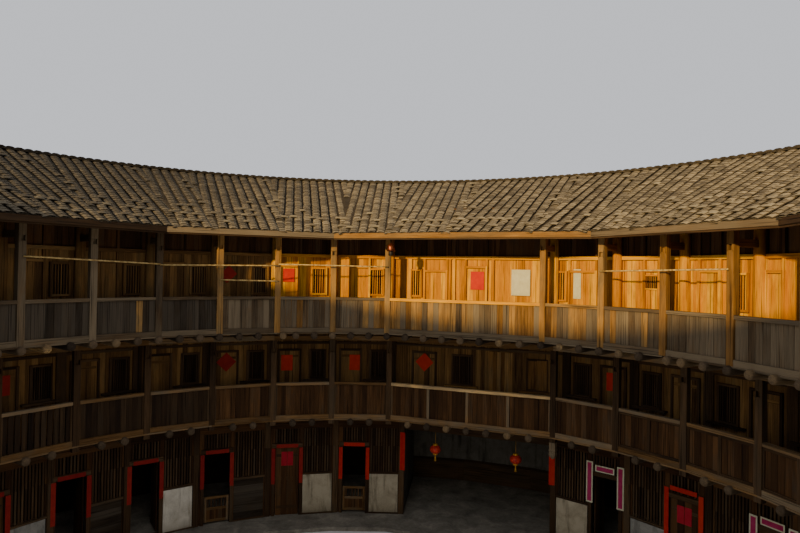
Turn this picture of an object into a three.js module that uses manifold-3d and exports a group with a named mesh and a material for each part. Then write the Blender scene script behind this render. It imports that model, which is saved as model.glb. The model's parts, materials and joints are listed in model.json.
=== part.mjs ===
// A tulou roundhouse: a ring of timber galleries inside a thick round wall of rammed earth.
// Millimetres, +Z up. The origin is on the ground at the middle of the court.
// The ancestral hall opens to the court at +Y and the gate is at -Y.
// Angles are measured from +Y towards +X, as seen from above.

import * as THREE from 'three';
import { mergeVertices } from 'three/addons/utils/BufferGeometryUtils.js';
import Module from 'manifold-3d';

const wasm = await Module();
wasm.setup();

// Plan: angles in radians, radii in millimetres at the corners of the ring
const HALL_BAY = 0.5345;
const BAY = 0.1895;
const BAYS_PER_SIDE = 14;
const GROUND_HALL_BAY = 0.467;
const GROUND_WIDE_BAY = 0.2085;
const GROUND_WIDE_BAYS = 3;
const R_GALLERY_3 = 8000;
const R_GALLERY_2 = 8820;
const R_FRONT = 9810;
const R_TERRACE = 8700;
const R_EAVE_CORNER = 7450;
const R_RIDGE = 11360;
const R_WALL_INSIDE = 13200;
const R_WALL_BASE = 14500;
const R_WALL_TOP = 14200;
const R_EAVE_OUTSIDE = 16000;

// Levels above the ground
const TERRACE_TOP = 100;
const DOOR_HEAD = 2150;
const SLAT_TOP = 2700;
const PANEL_TOP = 1360;
const LEVEL_2 = 3220;
const LEVEL_3 = 5800;
const RAIL_TOP_2 = 4280;
const RAIL_TOP_3 = 6780;
const EAVE_BOTTOM = 8390;
const RIDGE_TOP = 10490;
const OUTER_EAVE_TOP = 8400;

// Timber sections
const GAP = 0.3;
const SEAM = 2e-5;
const LOG = 160;
const LOG_SIDES = 6;
const LOG_REACH = 110;
const BOARD = 40;
const LET_IN = 5;
const POST = 160;
const COLUMN = 220;
const COLUMN_SIDES = 8;
const SILL_IN = 60;
const SILL_OUT = 110;
const SILL_HEIGHT = 130;
const RAIL_HEIGHT = 80;
const RAIL_WIDTH = 120;
const WALL_BOARDS = 70;
const PLATE = 140;
const PLATE_WIDTH = 180;
const TIE = { width: 100, height: 150, bottom: 8100 };

// Roof
const ROOF_DEPTH = 120;
const ROOF_CLEARANCE = 60;
const BRACKET = 160;
const BRACKET_END = 15600;
const BRACKET_PLACE = 0.4;
const EAVE_PURLIN = 120;

// One bay of a timber front, measured along it from the post nearer the hall
const WINDOW = { from: 120, to: 880 };
const DOORWAY = { from: 1000, to: 1720 };
const WIDE_BAY_EXTRA = 100;
const THRESHOLD = 60;
const LINTEL = 120;
const UPPER_WINDOW = { from: 250, to: 670, bottom: 4250, top: 5050 };
const UPPER_DOOR = { from: 950, to: 1650, height: 1850 };
const THIRD_DOOR = { from: 760, to: 1440, height: 1800 };
const RECESS = 25;

// Leaves that turn on pivot pins in their doorway
const LEAF = { thickness: 40, gap: 14, bottom: 112, top: 2140 };
const HALF_GATE = { thickness: 30, gap: 12, bottom: 160, top: 900 };
const FREE_EDGE_GAP = 12;
const PIN_RADIUS = 12;

// Windows of the earth wall, wider inside than outside
const WALL_WINDOW = { outside: 620, inside: 900, height: 720 };
const THIRD_WINDOW_SILL = 6950;
const SECOND_WINDOW_SILL = 4250;

// Gate of dressed stone with two plank leaves
const GATE = { width: 1500, height: 2400, jamb: 260, depth: 420, leaf: 70 };

// Lanterns
const HALL_LANTERN = { radius: 170, height: 330, top: 2350, side: 1200 };
const CORD = 8;

const EARTH = new THREE.MeshStandardMaterial({ color: 0xc9974f, roughness: 0.95, metalness: 0 });
const STONE = new THREE.MeshStandardMaterial({ color: 0x8f8b80, roughness: 0.9, metalness: 0 });
const PLASTER = new THREE.MeshStandardMaterial({ color: 0xb9b2a2, roughness: 0.9, metalness: 0 });
const DARK_FIR = new THREE.MeshStandardMaterial({ color: 0x5a4330, roughness: 0.85, metalness: 0 });
const GOLDEN_FIR = new THREE.MeshStandardMaterial({ color: 0xa8702f, roughness: 0.8, metalness: 0 });
const GREY_FIR = new THREE.MeshStandardMaterial({ color: 0x6b6155, roughness: 0.9, metalness: 0 });
const TILES = new THREE.MeshStandardMaterial({ color: 0x6a6358, roughness: 0.95, metalness: 0 });
const RED_SILK = new THREE.MeshStandardMaterial({ color: 0xb3301c, roughness: 0.7, metalness: 0 });

const house = new THREE.Group();

// Posts are numbered 0 to 29 from the one left of the gate; bay n lies between posts n and n + 1.
const POSTS = 2 * BAYS_PER_SIDE + 2;
const HALL = BAYS_PER_SIDE;
const GATE_BAY = POSTS - 1;
const EAVE_CORNERS = [1, 4, 7, 10, 13, 16, 19, 22, 25, 28];

// The whole turns a post number has gone round, its side of the hall and its bays from the hall
function placeOf(n) {
  const turns = Math.floor(n / POSTS);
  const m = n - turns * POSTS;
  const side = m <= HALL ? -1 : 1;
  const steps = m <= HALL ? HALL - m : m - HALL - 1;
  return { turn: turns * 2 * Math.PI, side, steps };
}

function postAngle(n) {
  const { turn, side, steps } = placeOf(n);
  return turn + side * (HALL_BAY / 2 + steps * BAY);
}

// On the ground floor the hall is narrower and the three bays on either side of it are wider.
const GROUND_WIDE = GROUND_HALL_BAY / 2 + GROUND_WIDE_BAYS * GROUND_WIDE_BAY;
const GROUND_REST = HALL_BAY / 2 + BAYS_PER_SIDE * BAY - GROUND_WIDE;
const GROUND_BAY = GROUND_REST / (BAYS_PER_SIDE - GROUND_WIDE_BAYS);

function groundAngle(n) {
  const { turn, side, steps } = placeOf(n);
  const wide = Math.min(steps, GROUND_WIDE_BAYS);
  const way = GROUND_HALL_BAY / 2 + wide * GROUND_WIDE_BAY + (steps - wide) * GROUND_BAY;
  return turn + side * way;
}

function chordFactor(angle, from, to) {
  const half = (to - from) / 2;
  return Math.cos(half) / Math.cos(angle - from - half);
}

function straight(angle, angleOf = postAngle) {
  let n = 0;
  while (angleOf(n + 1) < angle - 1e-9) {
    n += 1;
  }
  return chordFactor(angle, angleOf(n), angleOf(n + 1));
}

function eaveRadius(angle) {
  const turned = angle < postAngle(EAVE_CORNERS[0]) ? angle + 2 * Math.PI : angle;
  let i = 0;
  while (i < EAVE_CORNERS.length - 1 && postAngle(EAVE_CORNERS[i + 1]) < turned - 1e-9) {
    i += 1;
  }
  const from = postAngle(EAVE_CORNERS[i]);
  const to = i < EAVE_CORNERS.length - 1
    ? postAngle(EAVE_CORNERS[i + 1])
    : postAngle(EAVE_CORNERS[0] + POSTS);
  return R_EAVE_CORNER * chordFactor(turned, from, to);
}

function roofUnderside(radius, angle) {
  const eave = eaveRadius(angle);
  const rise = RIDGE_TOP - ROOF_DEPTH - EAVE_BOTTOM;
  return EAVE_BOTTOM + (radius - eave) * rise / (R_RIDGE - eave);
}

// Angles from post n to post m, with each bay cut into steps no longer than the given angle
function anglesBetween(first, last, longest) {
  const angles = [postAngle(first)];
  for (let n = first; n < last; n++) {
    const from = postAngle(n);
    const span = postAngle(n + 1) - from;
    const steps = Math.ceil(span / longest - 1e-6);
    for (let i = 1; i <= steps; i++) {
      angles.push(from + span * i / steps);
    }
  }
  return angles;
}

function polar(radius, angle, z) {
  return [radius * Math.sin(angle), radius * Math.cos(angle), z];
}

function signedArea(outline) {
  return THREE.ShapeUtils.area(outline.map(([r, z]) => new THREE.Vector2(r, z)));
}

// A solid with the same outline of radius and height at each angle, open or closed to a full ring
function sweep(angles, outlineAt, closed = false) {
  const outlines = angles.map(outlineAt);
  const size = outlines[0].length;
  const pointsAt = (outline, i) => outline.flatMap(([r, z]) => polar(r, angles[i], z));
  const points = outlines.flatMap(pointsAt);
  const faces = [];
  const spans = closed ? angles.length : angles.length - 1;
  for (let i = 0; i < spans; i++) {
    const here = i * size;
    const next = ((i + 1) % angles.length) * size;
    for (let j = 0; j < size; j++) {
      const k = (j + 1) % size;
      faces.push([here + j, next + j, next + k], [here + j, next + k, here + k]);
    }
  }
  if (!closed) {
    const end = (angles.length - 1) * size;
    for (const [a, b, c] of capTriangles(outlines[0])) {
      faces.push([a, b, c]);
    }
    for (const [a, b, c] of capTriangles(outlines[angles.length - 1])) {
      faces.push([end + a, end + c, end + b]);
    }
  }
  const outward = signedArea(outlines[0]) < 0;
  const triangles = outward ? faces : faces.map(([a, b, c]) => [a, c, b]);
  return manifoldFrom(new Float32Array(points), new Uint32Array(triangles.flat()));
}

function capTriangles(outline) {
  const contour = outline.map(([r, z]) => new THREE.Vector2(r, z));
  const sense = Math.sign(THREE.ShapeUtils.area(contour));
  return THREE.ShapeUtils.triangulateShape(contour, []).map(([a, b, c]) => {
    const turn = THREE.ShapeUtils.area([contour[a], contour[b], contour[c]]);
    return Math.sign(turn) === sense ? [a, b, c] : [a, c, b];
  });
}

function manifoldFrom(vertProperties, triVerts) {
  return new wasm.Manifold(new wasm.Mesh({ numProp: 3, vertProperties, triVerts }));
}

function solid(geometry) {
  geometry.deleteAttribute('normal');
  geometry.deleteAttribute('uv');
  const merged = mergeVertices(geometry, 1e-3);
  const points = new Float32Array(merged.attributes.position.array);
  return manifoldFrom(points, new Uint32Array(merged.index.array));
}

function fuse(pieces) {
  return pieces.reduce((whole, piece) => whole.add(piece));
}

function cut(whole, cutters) {
  return cutters.reduce((left, cutter) => left.subtract(cutter), whole);
}

function addPiece(name, body, material) {
  const mesh = body.getMesh();
  const geometry = new THREE.BufferGeometry();
  geometry.setAttribute('position', new THREE.BufferAttribute(mesh.vertProperties, 3));
  geometry.setIndex(new THREE.BufferAttribute(mesh.triVerts, 1));
  geometry.computeVertexNormals();
  const piece = new THREE.Mesh(geometry, material);
  piece.name = name;
  house.add(piece);
}

// The straight front of one bay: its corner nearer the hall, the way along it and the way outwards
function bayFront(n, radius, angleOf = postAngle) {
  const left = n <= HALL;
  const near = new THREE.Vector2(...polar(radius, angleOf(left ? n + 1 : n), 0));
  const far = new THREE.Vector2(...polar(radius, angleOf(left ? n : n + 1), 0));
  const along = far.clone().sub(near).normalize();
  const middle = near.clone().add(far).multiplyScalar(0.5);
  const outward = middle.clone().normalize();
  return { near, along, outward, length: near.distanceTo(far), left };
}

function pointOn(front, along, outward) {
  return front.near.clone().addScaledVector(front.along, along).addScaledVector(front.outward, outward);
}

function boxOn(front, [s0, s1], [d0, d1], [z0, z1]) {
  const centre = pointOn(front, (s0 + s1) / 2, (d0 + d1) / 2);
  const box = new THREE.BoxGeometry(s1 - s0, d1 - d0, z1 - z0);
  box.rotateZ(Math.atan2(front.along.y, front.along.x));
  box.translate(centre.x, centre.y, (z0 + z1) / 2);
  return solid(box);
}

// A box on the ray at this angle, reaching from one radius to another
function radialBox(angle, width, [r0, r1], [z0, z1]) {
  const box = new THREE.BoxGeometry(width, r1 - r0, z1 - z0);
  box.rotateZ(-angle);
  box.translate(...polar((r0 + r1) / 2, angle, (z0 + z1) / 2));
  return solid(box);
}

function radialLog(angle, [r0, r1], top) {
  const log = new THREE.CylinderGeometry(LOG / 2, LOG / 2, r1 - r0, LOG_SIDES);
  const flat = 1 / Math.cos(Math.PI / LOG_SIDES);
  log.scale(flat, 1, flat);
  log.rotateY(Math.PI / LOG_SIDES);
  log.rotateZ(-angle);
  log.translate(...polar((r0 + r1) / 2, angle, top - LOG / 2));
  return solid(log);
}

function ring([r0, r1], [z0, z1], angles, angleOf = postAngle) {
  return sweep(angles, (angle) => {
    const k = straight(angle, angleOf);
    return [[r0 * k, z0], [r1 * k, z0], [r1 * k, z1], [r0 * k, z1]];
  });
}

const HALVES = { left: [0, HALL + 1], right: [HALL + 1, POSTS] };
const SECTORS = {
  gate: [27, 32],
  left_front: [2, 7],
  left_back: [7, 12],
  hall: [12, 17],
  right_back: [17, 22],
  right_front: [22, 27],
};

// The second-floor front is parted on both sides of the hall too.
const SECOND_FRONTS = {
  ...SECTORS,
  hall_left: [HALL - 2, HALL],
  hall: [HALL, HALL + 1],
  hall_right: [HALL + 1, HALL + 3],
};

function halfAngles(side) {
  return parted(anglesBetween(HALVES[side][0], HALVES[side][1], 1));
}

// A hair's breadth is left where one half or segment meets the next.
function parted(angles) {
  angles[0] += SEAM;
  angles[angles.length - 1] -= SEAM;
  return angles;
}

// The left half keeps the two posts where the halves meet, and the right half stops short of them.
function postsOf(side) {
  const [first, last] = HALVES[side];
  const posts = [];
  for (let n = first; n <= last; n++) {
    if (side === 'left' || (n > first && n < last)) {
      posts.push(n);
    }
  }
  return posts;
}

function roomForSharedPosts(side, radius, width, topOf) {
  if (side === 'left') {
    return [];
  }
  const half = width / 2 + GAP;
  return HALVES.right.map((n) => {
    const angle = postAngle(n);
    return radialBox(angle, 2 * half, [radius - width, radius + width], [0, topOf(angle) + GAP]);
  });
}

function bayRange(first, last) {
  return Array.from({ length: last - first + 1 }, (_, i) => first + i);
}

function baysOf(side) {
  return bayRange(HALVES[side][0], HALVES[side][1] - 1);
}

function isRoomBay(n) {
  return n !== HALL && n !== GATE_BAY;
}

// The raised terrace under the galleries, which is the ground floor of the hall and the rooms too
function groundFloor() {
  const angles = anglesBetween(0, POSTS, BAY).slice(0, -1);
  return sweep(angles, (angle) => {
    const inner = R_TERRACE * straight(angle);
    const outer = R_WALL_INSIDE - 60;
    return [[inner, 0], [outer, 0], [outer, TERRACE_TOP], [inner, TERRACE_TOP]];
  }, true);
}

// Floor boards on round joists that stick out under the gallery edge
function gallery([first, last], level, radius, postBelow) {
  const angles = parted(anglesBetween(first, last, BAY));
  const boards = sweep(angles, (angle) => {
    const inner = (radius + SILL_OUT) * straight(angle);
    const outer = R_WALL_INSIDE - 60;
    const top = level + BOARD - LET_IN;
    return [[inner, level - LET_IN], [outer, level - LET_IN], [outer, top], [inner, top]];
  });
  const joists = [];
  for (let n = first; n < last; n++) {
    const from = postAngle(n);
    const span = postAngle(n + 1) - from;
    const spaces = Math.round(3 * span / BAY);
    for (let i = 0; i < spaces; i++) {
      const atPost = i === 0;
      if (atPost && postBelow) {
        continue;
      }
      const aside = atPost && n === first ? LOG / radius : 0;
      const angle = from + span * i / spaces + aside;
      const inner = (radius - LOG_REACH) * straight(angle);
      joists.push(radialLog(angle, [inner, R_WALL_INSIDE - LOG], level));
    }
  }
  return fuse([boards, ...joists]);
}

// Balustrade of upright boards between a sill and a cap rail
function balustrade(side, radius, level, railTop) {
  const sillTop = level + SILL_HEIGHT;
  const railBottom = railTop - RAIL_HEIGHT;
  const board = BOARD / 2;
  const rail = RAIL_WIDTH / 2;
  return sweep(halfAngles(side), (angle) => [
    [-SILL_IN, level + GAP], [SILL_OUT - GAP, level + GAP], [SILL_OUT - GAP, sillTop], [board, sillTop],
    [board, railBottom], [rail, railBottom], [rail, railTop], [-rail, railTop],
    [-rail, railBottom], [-board, railBottom], [-board, sillTop], [-SILL_IN, sillTop],
  ].map(([across, z]) => [(radius + across) * straight(angle), z]));
}

function secondFloorGallery(side) {
  const top = LEVEL_3 - LOG - GAP;
  const postTop = top - PLATE + LET_IN;
  const rails = balustrade(side, R_GALLERY_2, LEVEL_2, RAIL_TOP_2);
  const plateFaces = [R_GALLERY_2 - PLATE_WIDTH / 2, R_GALLERY_2 + PLATE_WIDTH / 2];
  const plate = ring(plateFaces, [top - PLATE, top], halfAngles(side));
  const faces = [R_GALLERY_2 - POST / 2, R_GALLERY_2 + POST / 2];
  const posts = postsOf(side).map((n) =>
    radialBox(postAngle(n), POST, faces, [LEVEL_2 - PLATE, postTop]));
  const rooms = roomForSharedPosts(side, R_GALLERY_2, POST, () => postTop);
  return fuse([cut(fuse([rails, plate]), rooms), ...posts]);
}

function thirdFloorGallery(side) {
  const postTop = (angle) =>
    roofUnderside(R_GALLERY_3 - PLATE_WIDTH / 2, angle) - ROOF_CLEARANCE - PLATE + LET_IN;
  const rails = balustrade(side, R_GALLERY_3, LEVEL_3, RAIL_TOP_3);
  const purlin = sweep(parted(anglesBetween(...HALVES[side], BAY)), (angle) => {
    const middle = R_GALLERY_3 * straight(angle);
    const inner = middle - PLATE_WIDTH / 2;
    const outer = middle + PLATE_WIDTH / 2;
    const top = roofUnderside(inner, angle) - ROOF_CLEARANCE;
    return [[inner, top - PLATE], [outer, top - PLATE], [outer, top], [inner, top]];
  });
  const faces = [R_GALLERY_3 - POST / 2, R_GALLERY_3 + POST / 2];
  const frames = postsOf(side).flatMap((n) => {
    const angle = postAngle(n);
    const tieEnd = R_GALLERY_2 - COLUMN / 2 - GAP;
    return [
      radialBox(angle, POST, faces, [LEVEL_3 + GAP, postTop(angle)]),
      radialBox(angle, TIE.width, [R_GALLERY_3, tieEnd], [TIE.bottom, TIE.bottom + TIE.height]),
    ];
  });
  const rooms = roomForSharedPosts(side, R_GALLERY_3, POST, postTop);
  return fuse([cut(fuse([rails, purlin]), rooms), ...frames]);
}

// Board wall of the second-floor rooms, with a barred window and a closed door in each bay
function secondFloorFront([first, last]) {
  const bottom = LEVEL_2 + BOARD - LET_IN + GAP;
  const top = LEVEL_3 - LOG - GAP;
  const faces = [R_FRONT - WALL_BOARDS / 2, R_FRONT + WALL_BOARDS / 2];
  const wall = ring(faces, [bottom, top], parted(anglesBetween(first, last, 1)));
  const through = [-WALL_BOARDS, WALL_BOARDS];
  const recess = [-WALL_BOARDS, -WALL_BOARDS / 2 + RECESS];
  const doorHeight = [bottom + THRESHOLD, bottom + UPPER_DOOR.height];
  const windowHeight = [UPPER_WINDOW.bottom, UPPER_WINDOW.top];
  const bays = bayRange(first, last - 1).map((n) => n % POSTS);
  const cutters = bays.filter(isRoomBay).flatMap((n) => {
    const front = bayFront(n, R_FRONT);
    return [
      boxOn(front, [UPPER_WINDOW.from, UPPER_WINDOW.to], through, windowHeight),
      boxOn(front, [UPPER_DOOR.from, UPPER_DOOR.to], recess, doorHeight),
    ];
  });
  return cut(wall, cutters);
}

// Board wall of the third-floor rooms between round columns, running up to the roof
function thirdFloorFront(side) {
  const bottom = LEVEL_3 + BOARD - LET_IN + GAP;
  const angles = parted(anglesBetween(...HALVES[side], BAY));
  const wall = sweep(angles, (angle) => {
    const middle = R_GALLERY_2 * straight(angle);
    const top = roofUnderside(middle, angle) - ROOF_CLEARANCE;
    const inner = middle - WALL_BOARDS / 2;
    const outer = middle + WALL_BOARDS / 2;
    return [[inner, bottom], [outer, bottom], [outer, top], [inner, top]];
  });
  const cutters = baysOf(side).filter(isRoomBay).map((n) => {
    const front = bayFront(n, R_GALLERY_2);
    return boxOn(front, [THIRD_DOOR.from, THIRD_DOOR.to], [-WALL_BOARDS, -WALL_BOARDS / 2 + RECESS],
      [bottom + THRESHOLD, bottom + THIRD_DOOR.height]);
  });
  const columns = postsOf(side).map((n) => {
    const angle = postAngle(n);
    const top = roofUnderside(R_GALLERY_2, angle) - ROOF_CLEARANCE - COLUMN / 2;
    const column = new THREE.CylinderGeometry(COLUMN / 2, COLUMN / 2, top - bottom, COLUMN_SIDES);
    column.rotateX(Math.PI / 2);
    column.rotateZ(Math.PI / COLUMN_SIDES - angle);
    column.translate(...polar(R_GALLERY_2, angle, (top + bottom) / 2));
    return solid(column);
  });
  const rooms = roomForSharedPosts(side, R_GALLERY_2, COLUMN, () => RIDGE_TOP);
  return fuse([cut(wall, [...cutters, ...rooms]), ...columns]);
}

// Ground-floor doorways: most leaves are shut and fixed, some stand open, and five turn
const LEFT_BAY = (number) => HALL - number;
const RIGHT_BAY = (number) => HALL + number;
const OPEN_DOORWAYS = [LEFT_BAY(4), LEFT_BAY(5), RIGHT_BAY(1)];
const TURNING = [
  { name: 'half_gate_left_1', bay: LEFT_BAY(1), kind: HALF_GATE },
  { name: 'door_left_2', bay: LEFT_BAY(2), kind: LEAF },
  { name: 'half_gate_left_3', bay: LEFT_BAY(3), kind: HALF_GATE },
  { name: 'door_left_6', bay: LEFT_BAY(6), kind: LEAF },
  { name: 'door_right_2', bay: RIGHT_BAY(2), kind: LEAF },
];

// The bays beside the hall have room for a wider window, with the doorway farther along.
function groundBay(n) {
  const front = bayFront(n, R_FRONT, groundAngle);
  const beside = n < HALL ? HALL - n : n - HALL;
  const extra = beside <= GROUND_WIDE_BAYS ? WIDE_BAY_EXTRA : 0;
  return {
    front,
    window: [WINDOW.from, WINDOW.to + extra],
    doorway: [DOORWAY.from + extra, DOORWAY.to + extra],
  };
}

function doorwayCut(n, head) {
  const { front, doorway } = groundBay(n);
  if (TURNING.some((leaf) => leaf.bay === n)) {
    return boxOn(front, doorway, [-POST, POST], [0, head]);
  }
  if (OPEN_DOORWAYS.includes(n)) {
    return boxOn(front, doorway, [-POST, POST], [TERRACE_TOP + THRESHOLD, head]);
  }
  const recess = [-WALL_BOARDS, -WALL_BOARDS / 2 + RECESS];
  return boxOn(front, doorway, recess, [TERRACE_TOP + THRESHOLD, head]);
}

function windowCut(n, height) {
  const { front, window } = groundBay(n);
  return boxOn(front, window, [-POST, POST], height);
}

function transomCut(n) {
  const { front, doorway } = groundBay(n);
  return boxOn(front, doorway, [-POST, POST], [DOOR_HEAD + LINTEL, SLAT_TOP]);
}

// Under its beam, the bay of the hall or of the gateway is open from post to post.
function wideCut(n) {
  const { front } = groundBay(n);
  return boxOn(front, [POST / 2, front.length - POST / 2], [-POST, POST], [0, SLAT_TOP]);
}

function doorwayMiddle(n) {
  const { front, doorway } = groundBay(n);
  const point = pointOn(front, (doorway[0] + doorway[1]) / 2, 0);
  return Math.atan2(point.x, point.y);
}

function frontWall(angles, [bottom, top]) {
  const faces = [R_FRONT - WALL_BOARDS / 2, R_FRONT + WALL_BOARDS / 2];
  return ring(faces, [bottom, top], parted(angles), groundAngle);
}

function uprights(first, last, [bottom, top]) {
  const faces = [R_FRONT - POST / 2, R_FRONT + POST / 2];
  return bayRange(first, last).map((n) => radialBox(groundAngle(n), POST, faces, [bottom, top]));
}

// Where one front ends against an upright of the next
function roomForUpright(n) {
  const half = POST / 2 + GAP;
  return radialBox(groundAngle(n), 2 * half, [R_FRONT - half, R_FRONT + half], [0, LEVEL_2]);
}

const FRONT_BOTTOM = TERRACE_TOP + GAP;
const FRONT_TOP = LEVEL_2 - LOG - GAP;

// Below the door heads, from post first to post last and on to the middle of a doorway at either end
function lowFront(first, last, doorBefore, doorAfter) {
  const posts = bayRange(first, last).map(groundAngle);
  const start = doorBefore ? [doorwayMiddle(first - 1)] : [];
  const end = doorAfter ? [doorwayMiddle(last)] : [];
  const bays = bayRange(doorBefore ? first - 1 : first, doorAfter ? last : last - 1);
  const height = [FRONT_BOTTOM, DOOR_HEAD];
  const past = DOOR_HEAD + 1;
  const cutters = bays.flatMap((n) => [doorwayCut(n, past), windowCut(n, [PANEL_TOP, past])]);
  const wall = frontWall([...start, ...posts, ...end], height);
  return fuse([cut(wall, cutters), ...uprights(first, last, height)]);
}

// Full height, where no leaf turns: from a doorway that has one, round to the gateway
function fullFront(side) {
  const left = side === 'left';
  const height = [FRONT_BOTTOM, FRONT_TOP];
  const door = left ? LEFT_BAY(6) : RIGHT_BAY(2);
  const end = groundBay(door);
  const [first, last] = left ? [0, door] : [door + 1, GATE_BAY];
  const posts = bayRange(first, last).map(groundAngle);
  const angles = left
    ? [...posts, doorwayMiddle(door)]
    : [doorwayMiddle(door), ...posts, groundAngle(POSTS)];
  const cutters = bayRange(first, last - 1).flatMap((n) => [
    doorwayCut(n, DOOR_HEAD), windowCut(n, [PANEL_TOP, SLAT_TOP]), transomCut(n),
  ]);
  cutters.push(boxOn(end.front, [0, end.doorway[1]], [-POST, POST], [0, LEVEL_2]));
  if (!left) {
    cutters.push(wideCut(GATE_BAY));
    cutters.push(roomForUpright(POSTS));
  }
  return fuse([cut(frontWall(angles, height), cutters), ...uprights(first, last, height)]);
}

function groundFronts() {
  return {
    ground_front_left_1: lowFront(LEFT_BAY(1) + 1, HALL, true, false),
    ground_front_left_2: lowFront(LEFT_BAY(1), LEFT_BAY(1), true, true),
    ground_front_left_3: lowFront(LEFT_BAY(2), LEFT_BAY(2), true, true),
    ground_front_left_4: lowFront(LEFT_BAY(5), LEFT_BAY(3), true, true),
    ground_front_left_5: fullFront('left'),
    ground_front_right_1: lowFront(HALL + 1, RIGHT_BAY(2), false, true),
    ground_front_right_2: fullFront('right'),
  };
}

// Over the door heads beside the hall, from post first to post last, with the uprights it keeps
function frontHead(first, last, kept, cutters) {
  const height = [DOOR_HEAD + GAP, FRONT_TOP];
  const rooms = bayRange(first, last - 1).filter(isRoomBay);
  const openings = rooms.flatMap((n) => [windowCut(n, [DOOR_HEAD, SLAT_TOP]), transomCut(n)]);
  const wall = frontWall(bayRange(first, last).map(groundAngle), height);
  return fuse([cut(wall, [...openings, ...cutters]), ...uprights(...kept, height)]);
}

// Past the doorway of the last turning leaf, the front of full height takes over.
function pastDoorway(n) {
  const { front, doorway } = groundBay(n);
  return boxOn(front, [doorway[1] - GAP, front.length + POST], [-POST, POST], [0, LEVEL_2]);
}

function frontHeads() {
  const leftDoor = LEFT_BAY(6);
  const rightDoor = RIGHT_BAY(2);
  const split = HALL - 2;
  const none = [1, 0];
  const besideBeam = [wideCut(HALL), roomForUpright(HALL), roomForUpright(HALL + 1)];
  return {
    ground_front_head_left: frontHead(leftDoor, split, [leftDoor + 1, split], [pastDoorway(leftDoor)]),
    ground_front_head_hall_left: frontHead(split, HALL, [split + 1, HALL], [roomForUpright(split)]),
    ground_front_head_hall: frontHead(HALL, HALL + 1, none, besideBeam),
    ground_front_head_right: frontHead(HALL + 1, rightDoor + 1, [HALL + 1, rightDoor],
      [pastDoorway(rightDoor)]),
  };
}

// A leaf that fills its doorway and turns on two pins at the edge farther from the hall
function turningLeaf({ bay, kind }) {
  const { front, doorway } = groundBay(bay);
  const half = kind.thickness / 2;
  const hinge = doorway[1] - kind.gap - half;
  const width = [doorway[0] + FREE_EDGE_GAP, hinge + half];
  const board = boxOn(front, width, [-half, half], [kind.bottom, kind.top]);
  const foot = TERRACE_TOP + GAP;
  const head = kind === LEAF ? DOOR_HEAD : kind.top - LET_IN;
  const pin = new THREE.CylinderGeometry(PIN_RADIUS, PIN_RADIUS, head - foot, 8);
  const place = pointOn(front, hinge, 0);
  pin.rotateX(Math.PI / 2);
  pin.translate(place.x, place.y, (head + foot) / 2);
  return board.add(solid(pin));
}

// Plaster walls that close the two sides of the hall
function hallSideWall(post) {
  const span = [R_FRONT + POST / 2 + LET_IN, R_WALL_INSIDE - 60];
  return radialBox(groundAngle(post), PLATE, span, [TERRACE_TOP + GAP, LEVEL_2 - LOG - GAP]);
}

// Rammed earth, thinner at the top, with splayed windows
const OUTER_SLOPE = (RIDGE_TOP - OUTER_EAVE_TOP) / (R_EAVE_OUTSIDE - R_RIDGE);
const EARTH_TOP = RIDGE_TOP - ROOF_DEPTH - (R_WALL_TOP - R_RIDGE) * OUTER_SLOPE - GAP;

// The same steps all round, so that the wall and the roof over it have the same corners
function fineAngles(first, last) {
  return parted(anglesBetween(first, last, BAY / 2));
}

function wallWindow(angle, sill) {
  const depth = R_WALL_BASE - R_WALL_INSIDE + 400;
  const cutter = new THREE.BoxGeometry(WALL_WINDOW.outside, depth, WALL_WINDOW.height);
  const position = cutter.attributes.position;
  for (let i = 0; i < position.count; i++) {
    if (position.getY(i) < 0) {
      position.setX(i, position.getX(i) * WALL_WINDOW.inside / WALL_WINDOW.outside);
    }
  }
  cutter.rotateZ(-angle);
  cutter.translate(...polar((R_WALL_BASE + R_WALL_INSIDE) / 2, angle, sill + WALL_WINDOW.height / 2));
  return solid(cutter);
}

function earthWall([first, last]) {
  const body = sweep(fineAngles(first, last), () => [
    [R_WALL_INSIDE, 0], [R_WALL_BASE, 0], [R_WALL_TOP, EARTH_TOP], [R_WALL_INSIDE, EARTH_TOP],
  ]);
  const cutters = [];
  for (let n = first; n < last; n++) {
    const angle = (postAngle(n) + postAngle(n + 1)) / 2;
    const number = Math.min(Math.abs(n - HALL), Math.abs(n - POSTS - HALL));
    const overGate = n === GATE_BAY;
    const thirdRow = number % 2 === 0 || overGate;
    const secondRow = number % 4 === 3 && !overGate;
    if (thirdRow) {
      cutters.push(wallWindow(angle, THIRD_WINDOW_SILL));
    }
    if (secondRow) {
      cutters.push(wallWindow(angle, SECOND_WINDOW_SILL));
    }
    if (overGate) {
      const half = GATE.width / 2 + GATE.jamb;
      cutters.push(radialBox(Math.PI, 2 * half, [R_WALL_INSIDE - 400, R_WALL_BASE + 400],
        [-1, GATE.height + GATE.jamb]));
    }
  }
  return cut(body, cutters);
}

// Dressed stone posts and lintel in the gateway, and the plank leaves that stand open behind them
const GATE_FACE = R_WALL_BASE - 150;

function gateFrame() {
  const depth = [GATE_FACE - GATE.depth, GATE_FACE];
  const outer = GATE.width / 2 + GATE.jamb - GAP;
  const whole = radialBox(Math.PI, 2 * outer, depth, [0, GATE.height + GATE.jamb - GAP]);
  return whole.subtract(radialBox(Math.PI, GATE.width, [depth[0] - 10, depth[1] + 10], [-1, GATE.height]));
}

function gateLeaf(side) {
  const middle = side * (GATE.width / 2 + GATE.jamb - GAP - GATE.leaf / 2);
  const back = GATE_FACE - GATE.depth - GAP;
  const leaf = new THREE.BoxGeometry(GATE.leaf, GATE.width / 2, GATE.height + 40);
  leaf.translate(middle, -(back - GATE.width / 4), (GATE.height + 40) / 2);
  return solid(leaf);
}

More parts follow.
